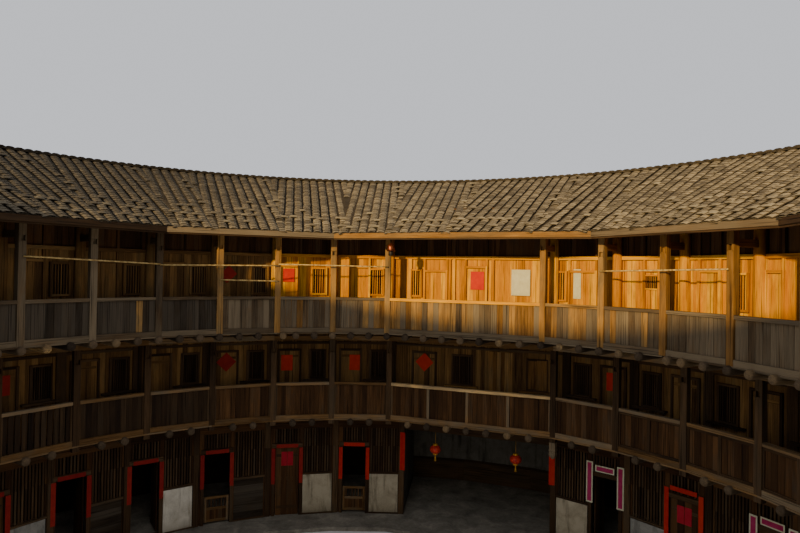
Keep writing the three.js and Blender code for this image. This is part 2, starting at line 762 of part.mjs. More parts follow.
// The inner slope of the roof: straight eaves between the eave corners, rising to a round ridge
function roofInner(side) {
  return sweep(fineAngles(...HALVES[side]), (angle) => {
    const eave = eaveRadius(angle);
    return [
      [eave, EAVE_BOTTOM], [R_RIDGE - GAP, RIDGE_TOP - ROOF_DEPTH],
      [R_RIDGE - GAP, RIDGE_TOP], [eave, EAVE_BOTTOM + ROOF_DEPTH],
    ];
  });
}

// The outer slope, which passes over the earth wall and rests out on a purlin and brackets
function roofOuter(side) {
  const outer = BRACKET_END - EAVE_PURLIN;
  const inner = outer - EAVE_PURLIN;
  const under = (radius) => RIDGE_TOP - ROOF_DEPTH - (radius - R_RIDGE) * OUTER_SLOPE;
  const purlinBottom = under(outer) - EAVE_PURLIN;
  const slab = sweep(fineAngles(...HALVES[side]), () => [
    [R_RIDGE, RIDGE_TOP - ROOF_DEPTH], [inner, under(inner)], [inner, purlinBottom], [outer, purlinBottom],
    [outer, under(outer)], [R_EAVE_OUTSIDE, OUTER_EAVE_TOP - ROOF_DEPTH],
    [R_EAVE_OUTSIDE, OUTER_EAVE_TOP], [R_RIDGE, RIDGE_TOP],
  ]);
  const top = purlinBottom + LET_IN;
  const wallFace = R_WALL_BASE - (R_WALL_BASE - R_WALL_TOP) * (top - BRACKET) / EARTH_TOP;
  const brackets = baysOf(side).map((n) => {
    const angle = postAngle(n) + (postAngle(n + 1) - postAngle(n)) * BRACKET_PLACE;
    return radialBox(angle, BRACKET, [wallFace + GAP, BRACKET_END], [top - BRACKET, top]);
  });
  return fuse([slab, ...brackets]);
}

// A lantern of revolution on its cord
function lantern({ radius, height, top }, x, y, cordTop) {
  const bottom = top - height;
  const shoulder = radius * 0.9;
  const mouth = radius * 0.5;
  const outline = [
    [0, bottom], [mouth, bottom], [shoulder, bottom + height * 0.2], [radius, bottom + height * 0.5],
    [shoulder, bottom + height * 0.8], [mouth, top], [CORD, top], [CORD, cordTop - GAP], [0, cordTop - GAP],
  ];
  const body = new THREE.LatheGeometry(outline.map(([r, z]) => new THREE.Vector2(r, z)), 12);
  body.rotateX(Math.PI / 2);
  body.translate(x, y, 0);
  return solid(body);
}

addPiece('ground_floor', groundFloor(), STONE);
for (const [name, posts] of Object.entries(SECTORS)) {
  addPiece(`earth_wall_${name}`, earthWall(posts), EARTH);
  addPiece(`second_floor_${name}`, gallery(posts, LEVEL_2, R_GALLERY_2, true), DARK_FIR);
  addPiece(`third_floor_${name}`, gallery(posts, LEVEL_3, R_GALLERY_3, false), DARK_FIR);
}
for (const [name, posts] of Object.entries(SECOND_FRONTS)) {
  addPiece(`second_floor_front_${name}`, secondFloorFront(posts), DARK_FIR);
}
addPiece('gate_frame', gateFrame(), STONE);
addPiece('gate_leaf_left', gateLeaf(1), DARK_FIR);
addPiece('gate_leaf_right', gateLeaf(-1), DARK_FIR);
addPiece('hall_side_wall_left', hallSideWall(HALL), PLASTER);
addPiece('hall_side_wall_right', hallSideWall(HALL + 1), PLASTER);
for (const [name, body] of Object.entries(groundFronts())) {
  addPiece(name, body, DARK_FIR);
}
for (const leaf of TURNING) {
  addPiece(leaf.name, turningLeaf(leaf), DARK_FIR);
}
for (const [name, body] of Object.entries(frontHeads())) {
  addPiece(name, body, DARK_FIR);
}
for (const side of ['left', 'right']) {
  addPiece(`second_floor_gallery_${side}`, secondFloorGallery(side), DARK_FIR);
  addPiece(`third_floor_front_${side}`, thirdFloorFront(side), GOLDEN_FIR);
  addPiece(`third_floor_gallery_${side}`, thirdFloorGallery(side), GREY_FIR);
  addPiece(`roof_inner_${side}`, roofInner(side), TILES);
  addPiece(`roof_outer_${side}`, roofOuter(side), TILES);
}
const LANTERN_LINE = R_FRONT * Math.cos(GROUND_HALL_BAY / 2);
for (const [side, way] of [['left', -1], ['right', 1]]) {
  const body = lantern(HALL_LANTERN, way * HALL_LANTERN.side, LANTERN_LINE, SLAT_TOP);
  addPiece(`hall_lantern_${side}`, body, RED_SILK);
}

export default house;
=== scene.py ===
# %% [markdown]
# # A tulou roundhouse
# A tulou is a round house of rammed earth with three rings of timber rooms inside it. The thick
# wall, the floors and the roof slabs come from the packed model. This script gives them their
# finishes, and replaces the board fronts, balustrades and doors with pieces that have single
# boards, bars and tiles.

# %% Load the packed house
import json
import math
import bmesh
import bpy
import numpy as np
from mathutils import Matrix, Quaternion, Vector

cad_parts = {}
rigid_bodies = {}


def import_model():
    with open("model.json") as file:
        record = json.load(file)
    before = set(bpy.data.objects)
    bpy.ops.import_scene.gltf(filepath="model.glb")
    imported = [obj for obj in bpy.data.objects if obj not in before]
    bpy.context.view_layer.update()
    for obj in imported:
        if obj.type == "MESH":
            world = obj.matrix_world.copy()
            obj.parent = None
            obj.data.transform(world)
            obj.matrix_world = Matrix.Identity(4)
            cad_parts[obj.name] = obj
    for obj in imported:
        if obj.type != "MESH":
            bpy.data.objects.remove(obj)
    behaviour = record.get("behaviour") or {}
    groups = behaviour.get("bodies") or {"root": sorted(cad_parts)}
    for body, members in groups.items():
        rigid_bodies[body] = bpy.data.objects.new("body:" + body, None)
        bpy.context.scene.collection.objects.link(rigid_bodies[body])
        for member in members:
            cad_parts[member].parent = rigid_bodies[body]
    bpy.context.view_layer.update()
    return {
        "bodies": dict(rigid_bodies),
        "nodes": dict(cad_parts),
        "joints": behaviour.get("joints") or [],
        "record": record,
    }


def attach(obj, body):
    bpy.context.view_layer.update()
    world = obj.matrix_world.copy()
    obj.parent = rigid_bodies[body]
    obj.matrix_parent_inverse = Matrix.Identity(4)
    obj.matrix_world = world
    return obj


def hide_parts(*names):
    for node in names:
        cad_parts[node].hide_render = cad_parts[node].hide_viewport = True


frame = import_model()
print("packed nodes:", len(frame["nodes"]))

# %% [markdown]
# ## The plan
# Every piece sits on a ring of thirty posts round the court. An angle is measured from the hall,
# at +Y, towards +X. A bay lies between two posts and its front is straight, so a place in it is
# given by the distance along it, the distance outwards and the height. On the ground floor the
# hall is narrower and the three bays on either side of it are wider.

# %% Posts and bays
POSTS, HALL, GATE_BAY, SIDE_BAYS = 30, 14, 29, 14
HALL_BAY, BAY = 0.5345, 0.1895
GROUND_HALL_BAY, WIDE_BAY, WIDE_BAYS = 0.467, 0.2085, 3
GROUND_SIDE = HALL_BAY / 2 + SIDE_BAYS * BAY - GROUND_HALL_BAY / 2
GROUND_BAY = (GROUND_SIDE - WIDE_BAYS * WIDE_BAY) / (SIDE_BAYS - WIDE_BAYS)
LEVEL_2, LEVEL_3 = 3.22, 5.80
R_GALLERY_3, R_GALLERY_2, R_FRONT = 8.0, 8.82, 9.81
FULL_TURN = 2 * math.pi


def way_round(n, hall_bay, wide, wide_bays, bay):
    """The angle of post n, by the widths of the hall's bay, the wide bays and the others."""
    turns, m = divmod(n, POSTS)
    side = -1 if m <= HALL else 1
    steps = HALL - m if m <= HALL else m - HALL - 1
    near = min(steps, wide_bays)
    return turns * FULL_TURN + side * (hall_bay / 2 + near * wide + (steps - near) * bay)


def post_angle(n):
    return way_round(n, HALL_BAY, 0, 0, BAY)


def ground_angle(n):
    return way_round(n, GROUND_HALL_BAY, WIDE_BAY, WIDE_BAYS, GROUND_BAY)


GALLERY_3, GALLERY_2 = (R_GALLERY_3, post_angle), (R_GALLERY_2, post_angle)
FRONT_2, FRONT_1 = (R_FRONT, post_angle), (R_FRONT, ground_angle)


def middle(ring, n):
    return (ring[1](n) + ring[1](n + 1)) / 2


def length(ring, n):
    return 2 * ring[0] * math.sin((ring[1](n + 1) - ring[1](n)) / 2)


def sideways(angle):
    """The direction round the ring, to the right as seen from the court."""
    return Vector((math.cos(angle), -math.sin(angle), 0))


def polar(radius, angle, z):
    return Vector((radius * math.sin(angle), radius * math.cos(angle), z))


def turned(place, angle, scale=(1, 1, 1)):
    """A copy's matrix: local X runs round the ring, local Y outwards."""
    turn = Matrix.Rotation(-angle, 4, "Z")
    return Matrix.Translation(place) @ turn @ Matrix.Diagonal((*scale, 1))


def at_post(ring, n, z, scale=(1, 1, 1), out=0.0):
    return turned(polar(ring[0] + out, ring[1](n), z), ring[1](n), scale)


def in_bay(ring, n, x, out, z, scale=(1, 1, 1)):
    """A copy's matrix, at x from the middle of the bay, to the right as seen from the court."""
    angle = middle(ring, n)
    depth = ring[0] * math.cos((ring[1](n + 1) - ring[1](n)) / 2) + out
    return turned(polar(depth, angle, z) + sideways(angle) * x, angle, scale)


print("bay on the second floor:", round(length(FRONT_2, 0), 3), "m")

# %% [markdown]
# ## The camera
# The photograph was taken from the third-floor gallery, beside the gate, looking over the court
# a little to the left of the hall. The camera stands at that place and height.

# %% Camera
HEADING, PITCH, ROLL = -0.3515, 0.0103, 0.0169
EYE, LENS, SENSOR = (3.78, -7.40, 7.49), 26.24, 36

camera = bpy.data.objects.new("camera", bpy.data.cameras.new("camera"))
bpy.context.scene.collection.objects.link(camera)
ahead = math.cos(PITCH)
looking = Vector((math.sin(HEADING) * ahead, math.cos(HEADING) * ahead, math.sin(PITCH)))
camera.rotation_mode = "QUATERNION"
camera.rotation_quaternion = looking.to_track_quat("-Z", "Y") @ Quaternion((0, 0, 1), ROLL)
camera.location = EYE
camera.data.sensor_width, camera.data.lens = SENSOR, LENS
camera.data.clip_start, camera.data.clip_end = 0.05, 400
bpy.context.scene.camera = camera
print("camera at", tuple(camera.location))

# %% [markdown]
# ## Light and floor
# A pale world gives an even light. One warm sun comes in over the near roof, so low that it reaches
# in under the far eave. A very soft light in the court stands for what the sunlit walls send back
# into the galleries.

# %% Light and floor
WORLD_COLOUR, WORLD_STRENGTH = (0.92, 0.94, 1.0, 1), 0.8
SUN_WAY, SUN_COLOUR, SUN_STRENGTH, SUN_DEGREES = (0.199, 0.98, -0.232), (1.0, 0.70, 0.29), 5.3, 1.6
COURT_PLACE, COURT_COLOUR, COURT_STRENGTH, COURT_SIZE = (0, 0, 4.4), (1.0, 0.90, 0.76), 480, 3.0
FLOOR_SIZE, FLOOR_LEVEL = 400, -0.004


def lamp(name, kind, colour, strength):
    made = bpy.data.objects.new(name, bpy.data.lights.new(name, kind))
    bpy.context.scene.collection.objects.link(made)
    made.data.color, made.data.energy = colour, strength
    return made


world = bpy.data.worlds.new("studio")
bpy.context.scene.world = world
world.use_nodes = True
sky = world.node_tree.nodes["Background"]
sky.inputs["Color"].default_value = WORLD_COLOUR
sky.inputs["Strength"].default_value = WORLD_STRENGTH

sun = lamp("key_light", "SUN", SUN_COLOUR, SUN_STRENGTH)
sun.data.angle = math.radians(SUN_DEGREES)
sun.rotation_mode = "QUATERNION"
sun.rotation_quaternion = Vector(SUN_WAY).to_track_quat("-Z", "Y")

court = lamp("court_light", "POINT", COURT_COLOUR, COURT_STRENGTH)
court.location = COURT_PLACE
court.data.shadow_soft_size = COURT_SIZE
court.visible_camera = False

bpy.ops.object.select_all(action="DESELECT")
bpy.ops.mesh.primitive_plane_add(size=FLOOR_SIZE, location=(0, 0, FLOOR_LEVEL))
floor = bpy.context.object
floor.name = "studio_floor"
print("floor and lights made")

# %% [markdown]
# ## Finishes
# Each material is grown from noise. On pieces of timber the pattern reads the grain attribute,
# which runs along the member, and the tone attribute, which differs from one board to the next.
# On walls it reads Object coordinates, which are metres in the house.

# %% Building a finish node by node
def linear(code):
    """A colour from its web code, as the shader wants it."""
    parts = [int(code[i:i + 2], 16) / 255 for i in (0, 2, 4)]
    return tuple(c / 12.92 if c < 0.04045 else ((c + 0.055) / 1.055) ** 2.4 for c in parts) + (1,)


class Finish:
    """A material that is put together from noise, ramps and sums."""

    def __init__(self, name, roughness, metallic=0.0, specular=0.25):
        self.material = bpy.data.materials.new(name)
        self.material.use_nodes = True
        self.tree = self.material.node_tree
        self.shader = self.tree.nodes["Principled BSDF"]
        self.shader.inputs["Roughness"].default_value = roughness
        self.shader.inputs["Metallic"].default_value = metallic
        self.shader.inputs["Specular IOR Level"].default_value = specular

    def add(self, kind, settings=(), **inputs):
        node = self.tree.nodes.new("ShaderNode" + kind)
        for key, value in dict(settings).items():
            setattr(node, key, value)
        for key, value in inputs.items():
            slot = node.inputs[int(key[1:])] if key[0] == "_" else node.inputs[key]
            if isinstance(value, bpy.types.NodeSocket):
                self.tree.links.new(value, slot)
            else:
                slot.default_value = value
        return node

    def coords(self, scale=(1, 1, 1)):
        place = self.add("TexCoord").outputs["Object"]
        return self.add("Mapping", Vector=place, Scale=scale).outputs["Vector"]

    def grain(self, scale):
        place = self.add("Attribute", {"attribute_name": "grain"}).outputs["Vector"]
        return self.add("Mapping", Vector=place, Scale=scale).outputs["Vector"]

    def tone(self):
        return self.add("Attribute", {"attribute_name": "tone"}).outputs["Fac"]

    def axis(self, place, letter):
        return self.add("SeparateXYZ", Vector=place).outputs[letter]

    def from_middle(self, place):
        """How far a point is from the middle of the court, in plan."""
        flat = self.add("VectorMath", {"operation": "MULTIPLY"}, _0=place, _1=(1, 1, 0))
        reach = self.add("VectorMath", {"operation": "LENGTH"}, _0=flat.outputs["Vector"])
        return reach.outputs["Value"]

    def noise(self, coords, scale, detail=4.0, rough=0.55, warp=0.0):
        return self.add("TexNoise", Vector=coords, Scale=scale, Detail=detail, Roughness=rough,
                        Distortion=warp).outputs["Fac"]

    def sum(self, *terms):
        """Weighted values added together; terms are (value, weight)."""
        total = None
        for value, weight in terms:
            part = self.add("Math", {"operation": "MULTIPLY"}, _0=value, _1=weight).outputs[0]
            if total is not None:
                part = self.add("Math", {"operation": "ADD"}, _0=total, _1=part).outputs[0]
            total = part
        return total

    def to_joint(self, value):
        """Nought at every whole number, and a half midway between two of them."""
        return self.add("Math", {"operation": "PINGPONG"}, _0=value, _1=0.5).outputs[0]

    def spread(self, value, low, high):
        """Stretches a value so that low becomes 0 and high becomes 1."""
        return self.add("MapRange", Value=value, _1=low, _2=high).outputs["Result"]

    def ramp(self, value, *stops):
        node = self.add("ValToRGB", Fac=value)
        band = node.color_ramp
        while len(band.elements) < len(stops):
            band.elements.new(0.5)
        for element, (place, colour) in zip(band.elements, stops):
            element.position = place
            element.color = linear(colour)
        return node.outputs["Color"]

    def mix(self, share, under, over, blend="MIX"):
        node = self.add("Mix", {"data_type": "RGBA", "blend_type": blend})
        for index, value in ((0, share), (6, under), (7, over)):
            if isinstance(value, bpy.types.NodeSocket):
                self.tree.links.new(value, node.inputs[index])
            else:
                node.inputs[index].default_value = value
        return node.outputs[2]

    def paint(self, colour):
        self.tree.links.new(colour, self.shader.inputs["Base Color"])

    def rough(self, value, low, high):
        out = self.add("MapRange", Value=value, _3=low, _4=high).outputs["Result"]
        self.tree.links.new(out, self.shader.inputs["Roughness"])

    def bump(self, height, strength, distance):
        node = self.add("Bump", Strength=strength, Distance=distance, Height=height)
        self.tree.links.new(node.outputs["Normal"], self.shader.inputs["Normal"])


print("steps of a finish:", ", ".join(step for step in vars(Finish) if step[0] != "_"))

# %% [markdown]
# ### Fir, old and new
# Fir darkens with smoke under the galleries, turns grey in the rain on the outer balustrade, and
# stays golden where a roof keeps it dry. One recipe gives all three: fine streaks along the
# grain, broad patches, a tone for each board, and dark checks.

# %% Fir finishes
def fir(name, dark, mid, light, weather, weather_share):
    """weather holds the colours of weathered patches, and weather_share how much they cover."""
    f = Finish(name, 0.88, specular=0.12)
    streaks = f.noise(f.grain((1, 1, 0.035)), 70, 5, 0.65, 0.6)
    broad = f.noise(f.grain((1, 1, 0.16)), 5, 3, 0.5, 0.8)
    checks = f.spread(f.noise(f.grain((1, 1, 0.012)), 46, 2, 0.4, 0.2), 0.34, 0.40)
    shade = f.sum((streaks, 0.62), (broad, 0.45), (f.tone(), 0.42))
    colour = f.ramp(shade, (0.42, dark), (0.72, mid), (1.02, light))
    patch = f.noise(f.grain((1, 1, 0.3)), 3.2, 4, 0.6, 1.0)
    worn = f.sum((patch, 1.0), (f.tone(), 0.35))
    cover = f.spread(worn, 0.82 - weather_share, 1.12 - weather_share)
    colour = f.mix(cover, colour, f.ramp(shade, (0.4, weather[0]), (1.0, weather[1])))
    colour = f.mix(checks, f.mix(0.65, colour, linear("120c08"), "MULTIPLY"), colour)
    f.paint(colour)
    f.rough(streaks, 0.72, 0.95)
    f.bump(f.sum((streaks, 0.6), (checks, 0.5)), 0.5, 0.004)
    return f.material


DARK_FIR = fir("dark_fir", "251a10", "41301f", "5c462f", ("28211b", "4a3d2d"), 0.15)
RAIL_FIR = fir("rail_fir", "432e19", "6e5230", "937047", ("4c4132", "766751"), 0.25)
PANEL_FIR = fir("panel_fir", "24170c", "422c18", "614326", ("282018", "4a3b2b"), 0.10)
GOLDEN_FIR = fir("golden_fir", "784a04", "bb7b06", "e0aa18", ("6a4a0e", "a47618"), 0.05)
SLATE_FIR = fir("slate_fir", "211a13", "3b3125", "584a39", ("2c2721", "4c4439"), 0.4)
# A near-black fir, used only as painted shade.
PAINTED_SHADE_FIR = fir("painted_shade_fir", "1a120b", "2f2216", "463421", ("1f1812", "3c2f21"), 0.2)
BROWN_FIR = fir("brown_fir", "3f2a14", "7d5a2e", "a87f45", ("4a3a28", "7f6845"), 0.20)
GREY_FIR = fir("grey_fir", "352a1e", "5e4c36", "85694a", ("40372b", "756752"), 0.40)
PALE_RAIL_FIR = fir("pale_rail_fir", "876034", "c49a5e", "e4be82", ("6a573c", "a08a68"), 0.15)
POST_FIR = fir("post_fir", "4a3119", "805d31", "ab834a", ("4f4335", "7c6b55"), 0.25)
WALL_FIR = fir("wall_fir", "362617", "6b4f2c", "947040", ("392d1f", "6c5838"), 0.12)
print("fir finishes ready")

# %% [markdown]
# ### Earth, lime and stone
# Rammed earth is laid in lifts between shutters, so faint level lines run round the wall. Inside
# the rooms it is darkened to near black. Lime plaster is pale and blotched, and stained near its
# foot.
# The stones are worn grey granite.

# %% Earth, lime and stone finishes
LIFTS_PER_METRE, DARK_INSIDE_WITHIN = 2.35, (13.35, 13.2)


def earth():
    f = Finish("rammed_earth", 0.95, specular=0.1)
    place = f.coords()
    fine = f.noise(place, 28, 6, 0.7)
    broad = f.noise(f.coords((1, 1, 1.6)), 0.8, 5, 0.62, 0.2)
    wander = f.noise(f.coords((1, 1, 0.3)), 1.6, 2)
    lift = f.sum((f.axis(place, "Z"), LIFTS_PER_METRE), (wander, 0.22))
    joint = f.spread(f.to_joint(lift), 0.0, 0.055)
    runs = f.spread(f.noise(f.coords((1, 1, 0.06)), 4.0, 4, 0.6), 0.46, 0.70)
    shade = f.sum((fine, 0.55), (broad, 0.45))
    colour = f.ramp(shade, (0.30, "ae7d3c"), (0.5, "c4914c"), (0.72, "d9aa64"))
    colour = f.mix(f.sum((runs, 0.14)), colour, linear("9a7440"))
    seam = f.mix(0.55, colour, linear("7d5528"), "MULTIPLY")
    colour = f.mix(joint, seam, colour)
    # Within the rooms the earth is darkened to near black.
    dark_inside = f.spread(f.from_middle(place), *DARK_INSIDE_WITHIN)
    colour = f.mix(dark_inside, colour, f.ramp(shade, (0.3, "231910"), (0.7, "3a2a1a")))
    f.paint(colour)
    f.bump(f.sum((fine, 0.5), (joint, 0.7), (broad, 0.6)), 0.6, 0.02)
    return f.material


def lime(name, light, mid, stain):
    f = Finish(name, 0.92, specular=0.12)
    place = f.coords()
    fine = f.noise(place, 34, 5, 0.7)
    blotch = f.noise(place, 2.4, 5, 0.62, 0.6)
    streak = f.noise(f.coords((1, 1, 0.12)), 6.0, 4, 0.6)
    foot = f.spread(f.sum((f.axis(place, "Z"), -1.0), (blotch, 0.9)), 0.05, 0.45)
    colour = f.ramp(f.sum((fine, 0.3), (blotch, 0.7)), (0.34, mid), (0.56, light))
    colour = f.mix(f.spread(streak, 0.52, 0.74), colour, linear(stain))
    colour = f.mix(f.sum((foot, 0.7)), colour, linear(stain))
    f.paint(colour)
    f.bump(f.sum((fine, 0.4), (blotch, 0.6)), 0.35, 0.008)
    return f.material


def stone():
    f = Finish("worn_granite", 0.9, specular=0.2)
    place = f.coords()
    specks = f.noise(place, 160, 3, 0.7)
    blotch = f.noise(place, 1.7, 5, 0.6, 0.5)
    wear = f.noise(place, 11, 5, 0.6)
    shade = f.sum((specks, 0.3), (blotch, 0.5), (wear, 0.2))
    f.paint(f.ramp(shade, (0.36, "55514a"), (0.52, "7d786d"), (0.66, "a09a8c")))
    f.bump(f.sum((specks, 0.2), (wear, 0.7)), 0.4, 0.006)
    return f.material


EARTH = earth()
WHITE_LIME = lime("white_lime", "cfcabd", "aea797", "7c715c")
CREAM_LIME = lime("cream_lime", "aca28b", "8b816b", "544a38")
GREY_LIME = lime("grey_lime", "8d8b84", "6c6b66", "494640")
HALL_LIME = lime("hall_lime", "6b6861", "504e48", "36332e")
STONE = stone()
print("earth, lime and stone ready")

# %% [markdown]
# ### Fired clay, paper, silk and metal
# The tiles are grey-brown, each a little different, with lichen and soot. On the left side of the
# house they are darker, and on their steep faces near black: both are painted shade. The part carries
# no lettering, so the papers on the doors are bare sheets, faded unevenly.

# %% Clay, paper, silk and metal finishes
LEFT_SHADE_FROM, LEFT_SHADE_TO = -3.0, -8.5


def clay(name, dark, mid, light):
    """Steep faces, at the sides and under the lip of a tile, are darkened: painted shade."""
    f = Finish(name, 0.92, specular=0.15)
    place = f.coords()
    fine = f.noise(place, 38, 5, 0.7)
    patch = f.noise(place, 0.9, 4, 0.6, 0.5)
    colour = f.ramp(f.sum((f.tone(), 0.40), (fine, 0.60)), (0.2, dark), (0.5, mid), (0.85, light))
    old = f.spread(patch, 0.46, 0.62)
    colour = f.mix(f.sum((old, 0.5)), colour, f.ramp(fine, (0.35, "3f392f"), (0.65, "877b63")))
    # The left side of the house is darkened: painted shade.
    left_shade = f.spread(f.axis(place, "X"), LEFT_SHADE_FROM, LEFT_SHADE_TO)
    colour = f.mix(f.sum((left_shade, 0.85)), colour, f.ramp(fine, (0.35, "24211c"), (0.65, "4b453a")))
    lichen = f.spread(f.noise(place, 9.0, 5, 0.7), 0.60, 0.68)
    colour = f.mix(f.sum((lichen, 0.5)), colour, linear("9c9274"))
    # Steep faces are darkened near black: painted shade.
    steep_painted_shade = f.spread(f.axis(f.add("NewGeometry").outputs["True Normal"], "Z"), 0.60, 0.20)
    colour = f.mix(f.sum((steep_painted_shade, 0.8)), colour, linear("1c1813"))
    f.paint(colour)
    f.bump(fine, 0.6, 0.008)
    return f.material


def paper(name, fresh, faded):
    f = Finish(name, 0.8, specular=0.2)
    place = f.coords()
    blotch = f.noise(place, 7, 4, 0.6)
    crease = f.noise(f.coords((1, 1, 0.4)), 18, 3, 0.5)
    shade = f.sum((blotch, 0.6), (f.tone(), 0.3), (crease, 0.2))
    f.paint(f.ramp(shade, (0.35, fresh), (0.8, faded)))
    f.bump(crease, 0.3, 0.004)
    return f.material


def plain(name, dark, light, roughness, metallic=0.0, scale=30):
    f = Finish(name, roughness, metallic, 0.4)
    wear = f.noise(f.coords(), scale, 5, 0.6)
    f.paint(f.ramp(wear, (0.38, dark), (0.62, light)))
    f.rough(wear, max(0.0, roughness - 0.12), min(1.0, roughness + 0.12))
    f.bump(wear, 0.3, 0.002)
    return f.material


def channel():
    """The tiles laid hollow side up between the columns: dark, partly for moss and silt and partly as
    painted shade between the columns.
    """
    f = Finish("channel_clay", 0.95, specular=0.1)
    place = f.coords()
    fine = f.noise(place, 30, 5, 0.7)
    shade = f.sum((fine, 0.6), (f.noise(place, 1.2, 3), 0.4))
    f.paint(f.ramp(shade, (0.35, "1b1712"), (0.65, "453c2e")))
    f.bump(fine, 0.5, 0.008)
    return f.material


PAN = channel()
CLAY = clay("fired_clay", "443c30", "786c56", "a89777")
LOOSE_CLAY = clay("loose_clay", "574d3c", "83765c", "a89a7a")
RED_PAPER = paper("red_paper", "a81a0e", "c43418")
DEEP_PAPER = paper("deep_red_paper", "741310", "93261a")
PINK_PAPER = paper("pink_paper", "96184a", "b0386a")
CRIMSON_PAPER = paper("crimson_paper", "92101f", "ab1c33")
PALE_PAPER = paper("pale_paper", "b9b79a", "d8d6be")
SILK = plain("red_silk", "9a1710", "d33a1e", 0.55, 0.0, 22)
GILT = plain("gilt_paper", "b57d1c", "e6b23c", 0.45, 0.3)
BAMBOO = plain("bamboo", "8f7443", "c9ad6e", 0.55, 0.0, 14)
COPPER = plain("old_copper", "4d2216", "8a4a2c", 0.4, 0.8, 24)
IRON = plain("black_iron", "1c1917", "3a3430", 0.55, 0.7, 60)
print("clay, paper, silk and metals ready")

# %% [markdown]
# ## Copies
# A board, a bar or a tile is modelled once. Its copies are then joined in one mesh. Each copy
# carries a tone of its own, and the place of each point along and across the timber, so that the
# grain runs along every member whichever way it lies.

# %% A modelled piece, ready to be copied
SEED, GRAIN_SHIFT = 2546, 40
chance = np.random.default_rng(SEED)


def master(piece, fibre=2):
    """Takes a modelled piece out of the scene, to be copied. fibre is the axis of its grain."""
    mesh = piece.data
    points = np.empty(len(mesh.vertices) * 3)
    corners = np.empty(len(mesh.loops), np.int32)
    sizes = np.empty(len(mesh.polygons), np.int32)
    smooth = np.empty(len(mesh.polygons), bool)
    mesh.vertices.foreach_get("co", points)
    mesh.loops.foreach_get("vertex_index", corners)
    mesh.polygons.foreach_get("loop_total", sizes)
    mesh.polygons.foreach_get("use_smooth", smooth)
    bpy.data.objects.remove(piece)
    return {"points": points.reshape(-1, 3), "corners": corners, "sizes": sizes, "smooth": smooth,
            "fibre": fibre}


def dress(finish, *parts):
    """Gives copies a finish. A part is one copy, which is (master, matrix), or a list of copies."""
    copies = [copy for part in parts for copy in (part if isinstance(part, list) else [part])]
    return [(*copy, finish) for copy in copies]


print("every random number comes from the seed", SEED)


# %% Joining copies in one mesh
def joined(name, copies):
    """The mesh of dressed copies, with the grain and tone of each."""
    points, grain, tones, corners, sizes, smooth, paint = [], [], [], [], [], [], []
    finishes, first = [], 0
    for shape, matrix, finish in copies:
        m = np.array(matrix)
        scale = np.linalg.norm(m[:3, :3], axis=0)
        local = shape["points"] * scale
        across = [axis for axis in range(3) if axis != shape["fibre"]]
        shift = chance.uniform(-GRAIN_SHIFT, GRAIN_SHIFT, 3)
        if finish not in finishes:
            finishes.append(finish)
        points.append(shape["points"] @ m[:3, :3].T + m[:3, 3])
        grain.append(local[:, [*across, shape["fibre"]]] + shift)
        tones.append(np.full(len(local), chance.uniform()))
        corners.append(shape["corners"] + first)
        sizes.append(shape["sizes"])
        smooth.append(shape["smooth"])
        paint.append(np.full(len(shape["sizes"]), finishes.index(finish), np.int32))
        first += len(local)
    mesh = bpy.data.meshes.new(name)
    sizes = np.concatenate(sizes)
    mesh.vertices.add(first)
    mesh.vertices.foreach_set("co", np.concatenate(points).ravel())
    mesh.loops.add(int(sizes.sum()))
    mesh.loops.foreach_set("vertex_index", np.concatenate(corners))
    mesh.polygons.add(len(sizes))
    starts = np.concatenate([[0], np.cumsum(sizes)[:-1]]).astype(np.int32)
    mesh.polygons.foreach_set("loop_start", starts)
    mesh.polygons.foreach_set("use_smooth", np.concatenate(smooth))
    for finish in finishes:
        mesh.materials.append(finish)
    mesh.polygons.foreach_set("material_index", np.concatenate(paint))
    mesh.update(calc_edges=True)
    along = mesh.attributes.new("grain", "FLOAT_VECTOR", "POINT")
    along.data.foreach_set("vector", np.concatenate(grain).ravel())
    own_tone = mesh.attributes.new("tone", "FLOAT", "POINT")
    own_tone.data.foreach_set("value", np.concatenate(tones))
    print(f"{name}: {len(copies)} copies, {int((sizes - 2).sum())} triangles")
    return mesh


def lay(name, copies, body="house", replaces=()):
    """One piece made of dressed copies. It rides on a body and stands for the nodes it replaces."""
    piece = bpy.data.objects.new(name, joined(name, copies))
    bpy.context.scene.collection.objects.link(piece)
    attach(piece, body)
    if replaces:
        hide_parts(*replaces)


print("ways to join copies and to lay them in the house")

# %% [markdown]
# ## Starting a shape
# A primitive is added at its size and place, with nothing else selected. Faces and edges are then
# picked in code, by where they are or where they point.

# %% Small modelling helpers
FACING = 0.9


def start(kind, scale=(1, 1, 1), **size):
    if bpy.context.mode != "OBJECT":
        bpy.ops.object.mode_set(mode="OBJECT")
    bpy.ops.object.select_all(action="DESELECT")
    getattr(bpy.ops.mesh, f"primitive_{kind}_add")(**size)
    piece = bpy.context.object
    piece.scale = scale
    bpy.ops.object.transform_apply(location=True, rotation=True, scale=True)
    bpy.ops.object.mode_set(mode="EDIT")
    bpy.ops.mesh.select_all(action="SELECT")
    return piece


def grow(*way):
    """Draws the picked faces out by this much."""
    bpy.ops.mesh.extrude_region_move(TRANSFORM_OT_translate={"value": way})


def cut_across(place, normal, **more):
    bpy.ops.mesh.select_all(action="SELECT")
    bpy.ops.mesh.bisect(plane_co=place, plane_no=normal, **more)


def pick(piece, wanted, kind="FACE"):
    """Selects the faces or edges that a test on them accepts."""
    bpy.ops.mesh.select_mode(type=kind)
    bpy.ops.mesh.select_all(action="DESELECT")
    shape = bmesh.from_edit_mesh(piece.data)
    for part in shape.faces if kind == "FACE" else shape.edges:
        part.select_set(wanted(part))
    bmesh.update_edit_mesh(piece.data)


